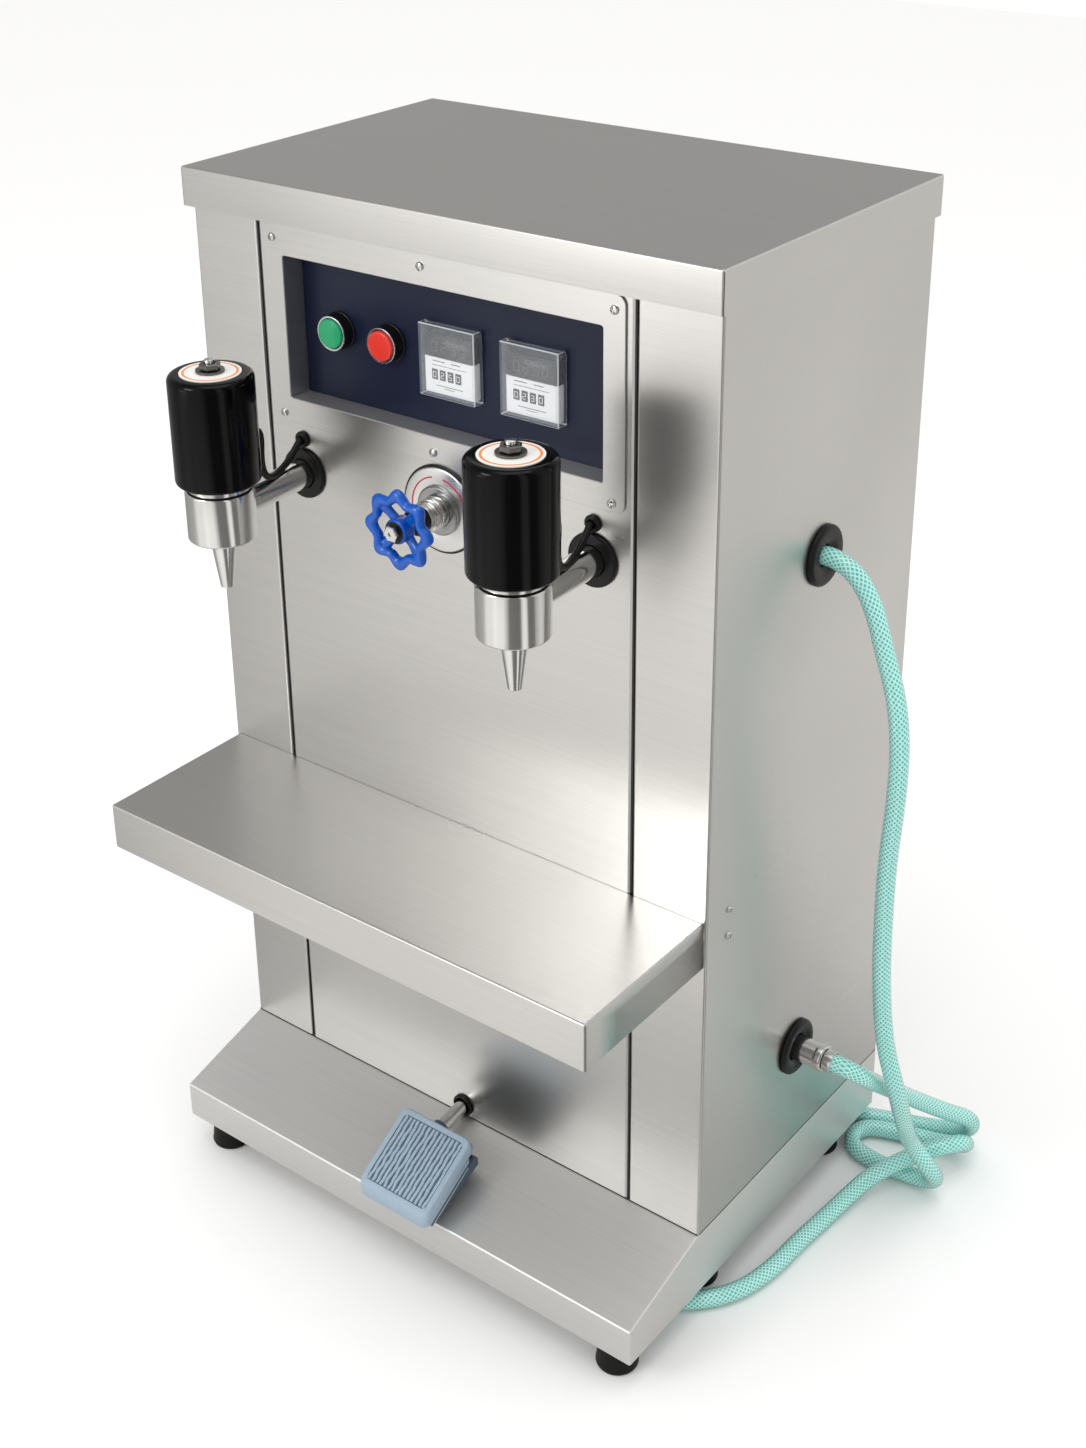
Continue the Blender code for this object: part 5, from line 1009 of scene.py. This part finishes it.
# Timer covers: clear moulded boxes with rounded edges, open behind, that swing up on pins in the ears of
# each timer. Their bevelled edges are a whiter, less clear finish as a painted highlight.
cover_y, cover_low, cover_top = panel_y - 0.0115, 0.762, 0.8196
swing = cover_top - hinge_z
for x, hand, _ in timers:
    in_y = panel_y - 0.0003
    outline = [(cover_y, cover_low), (in_y, cover_low)]
    for step in range(9):
        angle = math.radians(90 * step / 8)
        outline.append((hinge_y + swing * math.cos(angle), hinge_z + swing * math.sin(angle)))
    outline.append((cover_y, cover_top))
    bm = bmesh.new()
    slab(bm, [(x - 0.027, y, z) for y, z in outline], (0.054, 0, 0))
    folds = [edge for edge in bm.edges if edge.calc_face_angle(0) > 0.7]
    bmesh.ops.bevel(bm, geom=folds, offset=0.0008, segments=1, profile=0.5, affect="EDGES", material=1)
    cover = build(
        f"{hand}_cover_moulding", bm, (clear, clear_edge_painted_highlight), f"{hand}_cover", "clear_plastic",
        f"{hand}_timer_cover",
    )
    bm = bmesh.new()
    low = (x - 0.0255, cover_y + 0.0015, cover_low + 0.0015)
    box(bm, low, (x + 0.0255, in_y + 0.01, cover_top - 0.0015))
    box(bm, (x - 0.0255, hinge_y, hinge_z), (x + 0.0255, in_y + 0.01, cover_top + 0.01))
    cut(cover, "cover_space", bm, crossing=True)
    bm = bmesh.new()
    for side in (-1, 1):
        pin(bm, (x + side * 0.0234, hinge_y, hinge_z), 0.0011, 0.0042, 16)
    build(f"{hand}_cover_pins", bm, clear, f"{hand}_cover", "clear_plastic")

# Valve dial: machined disc in a dark edge ring, with a red setting arc on each side and a greyer step
# round the bonnet.
valve_spot = (0, front, 0.6758)
step_steel = plain("grey step steel", (0.36, 0.36, 0.36), 0.26, 1.0)
dial_paint, bsdf, nodes, links = shader("machined dial")
where = nodes.new("ShaderNodeTexCoord")
shift = nodes.new("ShaderNodeVectorMath")
shift.operation = "SUBTRACT"
shift.inputs[1].default_value = valve_spot
links.new(where.outputs["Object"], shift.inputs[0])
flat = nodes.new("ShaderNodeVectorMath")
flat.operation = "MULTIPLY"
flat.inputs[1].default_value = (1, 0, 1)
links.new(shift.outputs["Vector"], flat.inputs[0])
away = nodes.new("ShaderNodeVectorMath")
away.operation = "LENGTH"
links.new(flat.outputs["Vector"], away.inputs[0])
rings_wave = nodes.new("ShaderNodeMath")
rings_wave.operation = "SINE"
scaled = nodes.new("ShaderNodeMath")
scaled.operation = "MULTIPLY"
scaled.inputs[1].default_value = 9000
links.new(away.outputs["Value"], scaled.inputs[0])
links.new(scaled.outputs["Value"], rings_wave.inputs[0])
bump = nodes.new("ShaderNodeBump")
bump.inputs["Strength"].default_value = 0.06
bump.inputs["Distance"].default_value = 0.0002
links.new(rings_wave.outputs["Value"], bump.inputs["Height"])
links.new(bump.outputs["Normal"], bsdf.inputs["Normal"])
bsdf.inputs["Metallic"].default_value = 1.0
bsdf.inputs["Roughness"].default_value = 0.28
bsdf.inputs["Base Color"].default_value = (0.74, 0.735, 0.72, 1)
bm = bmesh.new()
dial = [(0.0131, 0.0003), (0.0346, 0.0003), (0.0346, 0.0026), (0.0338, 0.0032), (0.0131, 0.0032)]
lathe(bm, soften(dial, 0.0003, 2), valve_spot, outward, 96, 0)
edge_ring = [(0.0347, 0.0003), (0.0363, 0.0003), (0.0363, 0.0016), (0.0358, 0.0022), (0.0347, 0.0022)]
lathe(bm, soften(edge_ring, 0.0003, 2), valve_spot, outward, 96, 1)
grey_step = [(0.0131, 0.0033), (0.0203, 0.0033), (0.0203, 0.0048), (0.0192, 0.0060), (0.0131, 0.0060)]
lathe(bm, soften(grey_step, 0.0003, 2), valve_spot, outward, 72, 2)
build(
    "valve_dial_turned", bm, (dial_paint, black_plastic, step_steel), "machine", "turned_steel", "valve_dial",
)
arc_red = plain("red arc print", (0.55, 0.02, 0.05), 0.4)
bm = bmesh.new()
for start, end in ((-12, 80), (103, 196)):
    turn = Matrix.Translation(valve_spot) @ Matrix.Rotation(-math.radians(start), 4, "Y")
    section = [(0.0262, 0.0031), (0.0262, 0.0034), (0.0274, 0.0034), (0.0274, 0.0031)]
    face = bm.faces.new([bm.verts.new(turn @ Vector((reach, -lift, 0))) for reach, lift in section])
    bmesh.ops.spin(
        bm, geom=[face], cent=valve_spot, axis=outward, angle=math.radians(end - start), steps=30,
    )
build("dial_arcs", bm, arc_red, "machine", "turned_steel")

# Valve body: a bright turned bonnet that reaches out through the dial, with a black gland nut round the
# steel stem. The brass block behind the panel stays as packed, with its finish given at the end.
brass = plain("valve brass", (0.55, 0.40, 0.17), 0.3, 1.0)
bonnet = [
    (0.0123, 0.0008), (0.0129, 0.0008), (0.0129, 0.0128), (0.0124, 0.0133), (0.0129, 0.0138),
    (0.0129, 0.0180), (0.0122, 0.0194), (0.0114, 0.0200), (0.0110, 0.0206), (0.0110, 0.0251),
    (0.0043, 0.0251), (0.0043, 0.0192), (0.0123, 0.0192),
]
turned(
    "valve_bonnet_turned", soften(bonnet, 0.0004, 2), valve_spot, outward, 56, turned_steel, "turned_steel",
)
gland = [
    (0.0043, 0.0253), (0.0098, 0.0253), (0.0104, 0.0260), (0.0113, 0.0268), (0.0113, 0.0318),
    (0.0104, 0.0330), (0.0082, 0.0343), (0.0043, 0.0343),
]
turned(
    "gland_nut_turned", soften(gland, 0.0004, 2), valve_spot, outward, 48, black_plastic, "black_plastic",
    "gland_nut",
)
bm = bmesh.new()
lathe(bm, [(0, -0.033), (0.004, -0.033), (0.004, 0.0582), (0, 0.0582)], valve_spot, outward, 32)
head = [
    (0, 0.0597), (0.0020, 0.0597), (0.0021, 0.0607), (0.0058, 0.0607), (0.0067, 0.0601), (0.0067, 0.0566),
    (0.0058, 0.0561), (0, 0.0561),
]
lathe(bm, head, valve_spot, outward, 6)
shadow_ring = [(0.0043, 0.0557), (0.0088, 0.0557), (0.0088, 0.0560), (0.0043, 0.0560)]
lathe(bm, shadow_ring, valve_spot, outward, 40, 1)
build(
    "valve_stem_turned", bm, (turned_steel, black_plastic), "handwheel_set", "dark_steel", "valve_stem",
    angle=20, clean=False,
)

# Handwheel: a cast wheel with eight finger lobes on the rim and four dished spokes, in glossy blue enamel.
# A hexagon screw holds its hub on the stem.
wheel_blue, bsdf, nodes, links = shader("blue casting enamel")
where = nodes.new("ShaderNodeTexCoord")
lumps = nodes.new("ShaderNodeTexNoise")
lumps.inputs["Scale"].default_value = 160.0
links.new(where.outputs["Object"], lumps.inputs["Vector"])
bump = nodes.new("ShaderNodeBump")
bump.inputs["Strength"].default_value = 0.25
bump.inputs["Distance"].default_value = 0.0006
links.new(lumps.outputs["Fac"], bump.inputs["Height"])
links.new(bump.outputs["Normal"], bsdf.inputs["Normal"])
bsdf.inputs["Base Color"].default_value = (0.000, 0.085, 0.47, 1)
bsdf.inputs["Roughness"].default_value = 0.24
bsdf.inputs["Coat Weight"].default_value = 0.2
bm = bmesh.new()
rim_radius, rim_thick, rim_depth, lobes = 0.0254, 0.0047, 0.0043, 8
section = []
for corner in range(16):
    turn = math.tau * corner / 16
    section.append((rim_radius + rim_thick * math.cos(turn), 0.050 + rim_depth * math.sin(turn)))
lathe(bm, section, valve_spot, outward, lobes * 24)
for vert in bm.verts:
    ray = vert.co - Vector(valve_spot)
    ray.y = 0
    lobe = math.cos(lobes * math.atan2(ray.z, ray.x))
    vert.co += ray.normalized() * lobe * (0.0022 + 0.0009 * (ray.length - rim_radius) / rim_thick)
hub = [
    (0.0043, 0.0415), (0.0088, 0.0415), (0.0102, 0.0430), (0.0102, 0.0540), (0.0090, 0.0555),
    (0.0043, 0.0555),
]
lathe(bm, soften(hub, 0.0008), valve_spot, outward, 48)
for index in range(4):
    angle = math.tau * (index + 0.5) / 4
    reach = Vector((math.cos(angle), 0, math.sin(angle)))
    start = Vector((0, front - 0.046, 0.6758)) + reach * 0.0068
    end = Vector((0, front - 0.050, 0.6758)) + reach * 0.0255
    across = reach.cross(Vector((0, 1, 0)))
    rings = []
    for step in range(7):
        share = step / 6
        point = start.lerp(end, share) + Vector((0, 0.0012 * math.sin(math.pi * share), 0))
        width = 0.0054 - 0.0018 * math.sin(math.pi * min(share * 1.1, 1)) + 0.0012 * share
        ring = []
        for corner in range(12):
            turn = math.tau * corner / 12
            ring.append(point + across * width * math.cos(turn) + Vector((0, 0.0030 * math.sin(turn), 0)))
        rings.append(ring)
    stitch(bm, rings)
build("handwheel_casting", bm, wheel_blue, "handwheel_set", "blue_enamel", "handwheel", angle=60)

# Foot pedal pad: a blue-grey rubber moulding with round corners and grooved sides. A plain border stands
# round its ribbed tread, and it tips on a pin across the housing. The tread floor between the ribs and the
# grooves in the sides are painted dark as painted shade, and thin light lines along the side edges are
# painted highlights.
pedal_rubber, bsdf, nodes, links = shader("blue grey pedal rubber")
where = nodes.new("ShaderNodeTexCoord")
speckle = nodes.new("ShaderNodeTexNoise")
speckle.inputs["Scale"].default_value = 500.0
links.new(where.outputs["Object"], speckle.inputs["Vector"])
dust = nodes.new("ShaderNodeMix")
dust.data_type = "RGBA"
dust.inputs["A"].default_value = (0.285, 0.385, 0.480, 1)
dust.inputs["B"].default_value = (0.395, 0.500, 0.600, 1)
links.new(speckle.outputs["Fac"], dust.inputs["Factor"])
links.new(dust.outputs["Result"], bsdf.inputs["Base Color"])
bsdf.inputs["Roughness"].default_value = 0.55
# The dark blue is the housing's own colour, and painted shade in the pad's grooves; the light is a painted
# highlight.
dark_blue_and_groove_shade = plain("pedal dark blue and groove shade", (0.075, 0.115, 0.160), 0.7)
pedal_edge_highlight = plain("pedal side edge painted highlight", (0.62, 0.68, 0.74), 0.4)
pedal_x = 0.018
pivot = Vector((pedal_x, front - 0.101, 0.077))
pad_back = Vector((pedal_x, front - 0.0525, 0.125))
pad_nose = Vector((pedal_x, front - 0.116, 0.087))
along = (pad_back - pad_nose).normalized()
normal = Vector((0, -along.z, along.y))
pad_place = Matrix((Vector((1, 0, 0)), along, normal)).transposed().to_4x4()
pad_place.translation = (pad_back + pad_nose) / 2
length = (pad_back - pad_nose).length
bm = bmesh.new()
half, half_length = 0.038, length / 2
shrunk = rounded(-0.0368, 0.0368, -half_length + 0.0012, half_length - 0.0012, 0.0058, 6)
tread = rounded(-0.0325, 0.0325, -half_length + 0.0055, half_length - 0.0055, 0.0035, 6)
rings = []
for inset, drop in ((0.0016, 1.0), (0.0006, 0.93), (0.0, 0.82), (0.0, 0.12)):
    ring = []
    wide, long = half - inset, half_length - inset
    for x, y in rounded(-wide, wide, -long, long, 0.007 - inset, 6):
        share = (half_length - y) / length
        down = (-normal).lerp(Vector((0, 0.06, -1)), share).normalized()
        ring.append(pad_place @ Vector((x, y, 0)) + down * drop * (0.0108 + 0.0048 * share))
    rings.append(ring)
for points, z in ((shrunk, 0.0), (tread, 0.0), (tread, -0.0011)):
    rings.append([pad_place @ Vector((x, y, z)) for x, y in points])
_, caps = stitch(bm, rings)
# Painted shade: the floor of the tread between the ribs is painted dark.
caps[1].material_index = 1
for index in range(15):
    x = -0.0301 + 0.0043 * index
    rings = []
    for step in range(31):
        y = -half_length + 0.0062 + (length - 0.0124) * step / 30
        sway = 0.0010 * noise.noise(Vector((index * 0.9, step * 0.33, 2.0)))
        rib = 0.00158 + 0.0003 * noise.noise(Vector((index * 1.7, step * 0.5, 7.0)))
        rings.append([
            pad_place @ Vector((x + sway + across, y, rise))
            for across, rise in (
                (-rib, -0.0012), (-rib * 0.75, -0.0001), (rib * 0.75, -0.0001), (rib, -0.0012),
            )
        ])
    stitch(bm, rings)
# Side plates: a rubber rim, a recessed band painted dark as painted shade, and two thin strips painted light
# as highlights.
for side in (-1, 1):
    for inset, finish, points in (
        (0.0000, 0, [(-0.0570, 0.1085), (-0.0580, 0.1040), (-0.1090, 0.0735), (-0.1120, 0.0775)]),
        (0.0003, 1, [(-0.0575, 0.1042), (-0.0590, 0.0985), (-0.1060, 0.0712), (-0.1090, 0.0738)]),
        (0.0000, 2, [(-0.0573, 0.1052), (-0.0573, 0.1044), (-0.1090, 0.0737), (-0.1096, 0.0745)]),
        (0.0000, 2, [(-0.0586, 0.1004), (-0.0588, 0.0996), (-0.1066, 0.0718), (-0.1070, 0.0724)]),
    ):
        outer, inner = pedal_x + side * (0.0377 - inset), pedal_x + side * 0.0346
        slab(bm, [(outer, front + y, z) for y, z in points], (inner - outer, 0, 0), finish)
pin(bm, pivot, 0.0025, 0.074, 24)
build(
    "pedal_pad_moulding", bm, (pedal_rubber, dark_blue_and_groove_shade, pedal_edge_highlight), "pedal", "pedal_rubber", "pedal_pad",
    angle=40,
)

# Pedal pipe: a bright steel pipe that carries the pedal's housing. It goes into the cabinet through a black
# rubber grommet low in the front panel.
toward = Vector((0, 1, 0.16)).normalized()
panel_spot = Vector((0.003, front, 0.1025))
pipe = [(0.0055, 0), (0.0065, 0), (0.0065, 0.0652), (0.0055, 0.0652)]
turned(
    "pedal_pipe", soften(pipe, 0.0003), panel_spot - toward * 0.0432, toward, 40, turned_steel,
    "turned_steel", "pedal_arm",
)
ring = [
    (0.0076, 0.0022), (0.0084, 0.0030), (0.0094, 0.0030), (0.0103, 0.0020), (0.0103, 0.0003),
    (0.0089, 0.0003), (0.0089, -0.0018), (0.0104, -0.0018), (0.0098, -0.0038), (0.0076, -0.0038),
]
turned(
    "pedal_grommet_ring", soften(ring, 0.0006), panel_spot, outward, 40, black_rubber, "black_rubber",
    "pedal_grommet",
)

# Feet: moulded black rubber with a rounded lower edge and a slight taper. Each is pushed up into the flange
# of the base tray.
foot = [
    (0, 0), (0.0170, 0), (0.0180, 0.0030), (0.0172, 0.0060), (0.0150, 0.0297), (0.004, 0.0297),
    (0.004, 0.039), (0, 0.039),
]
for row, y in (("front", -0.149), ("middle", -0.030), ("rear", 0.175)):
    for side, hand in ((-1, "left"), (1, "right")):
        turned(
            f"{row}_{hand}_foot_turned", soften(foot, 0.0012), (side * 0.222, y, 0), upright, 48,
            black_rubber, "black_rubber", f"{row}_{hand}_foot",
        )

# Flat sheets and the inner works: these are shown as packed. They keep their solids, and only get their
# finish here.
navy = plain("navy enamel", (0.0070, 0.0110, 0.0330), 0.36, 0.0, 0.0, 0.26)
for names, finish in (
    (("front_panel", "back_panel"), sheet_steel),
    (("shelf_bracket", "delivery_manifold", "return_pipe"), inner_steel),
    (("instrument_panel",), navy),
    (("pedal_housing",), dark_blue_and_groove_shade),
    (("motor", "pump_body", "pump_cover"), plain("pump enamel", (0.09, 0.13, 0.17), 0.4)),
    (("valve_body",), brass),
    (("drive_gear", "driven_gear", "left_plunger", "right_plunger"), dark_steel),
):
    for name in names:
        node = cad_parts[name]
        node.data.materials.clear()
        node.data.materials.append(finish)
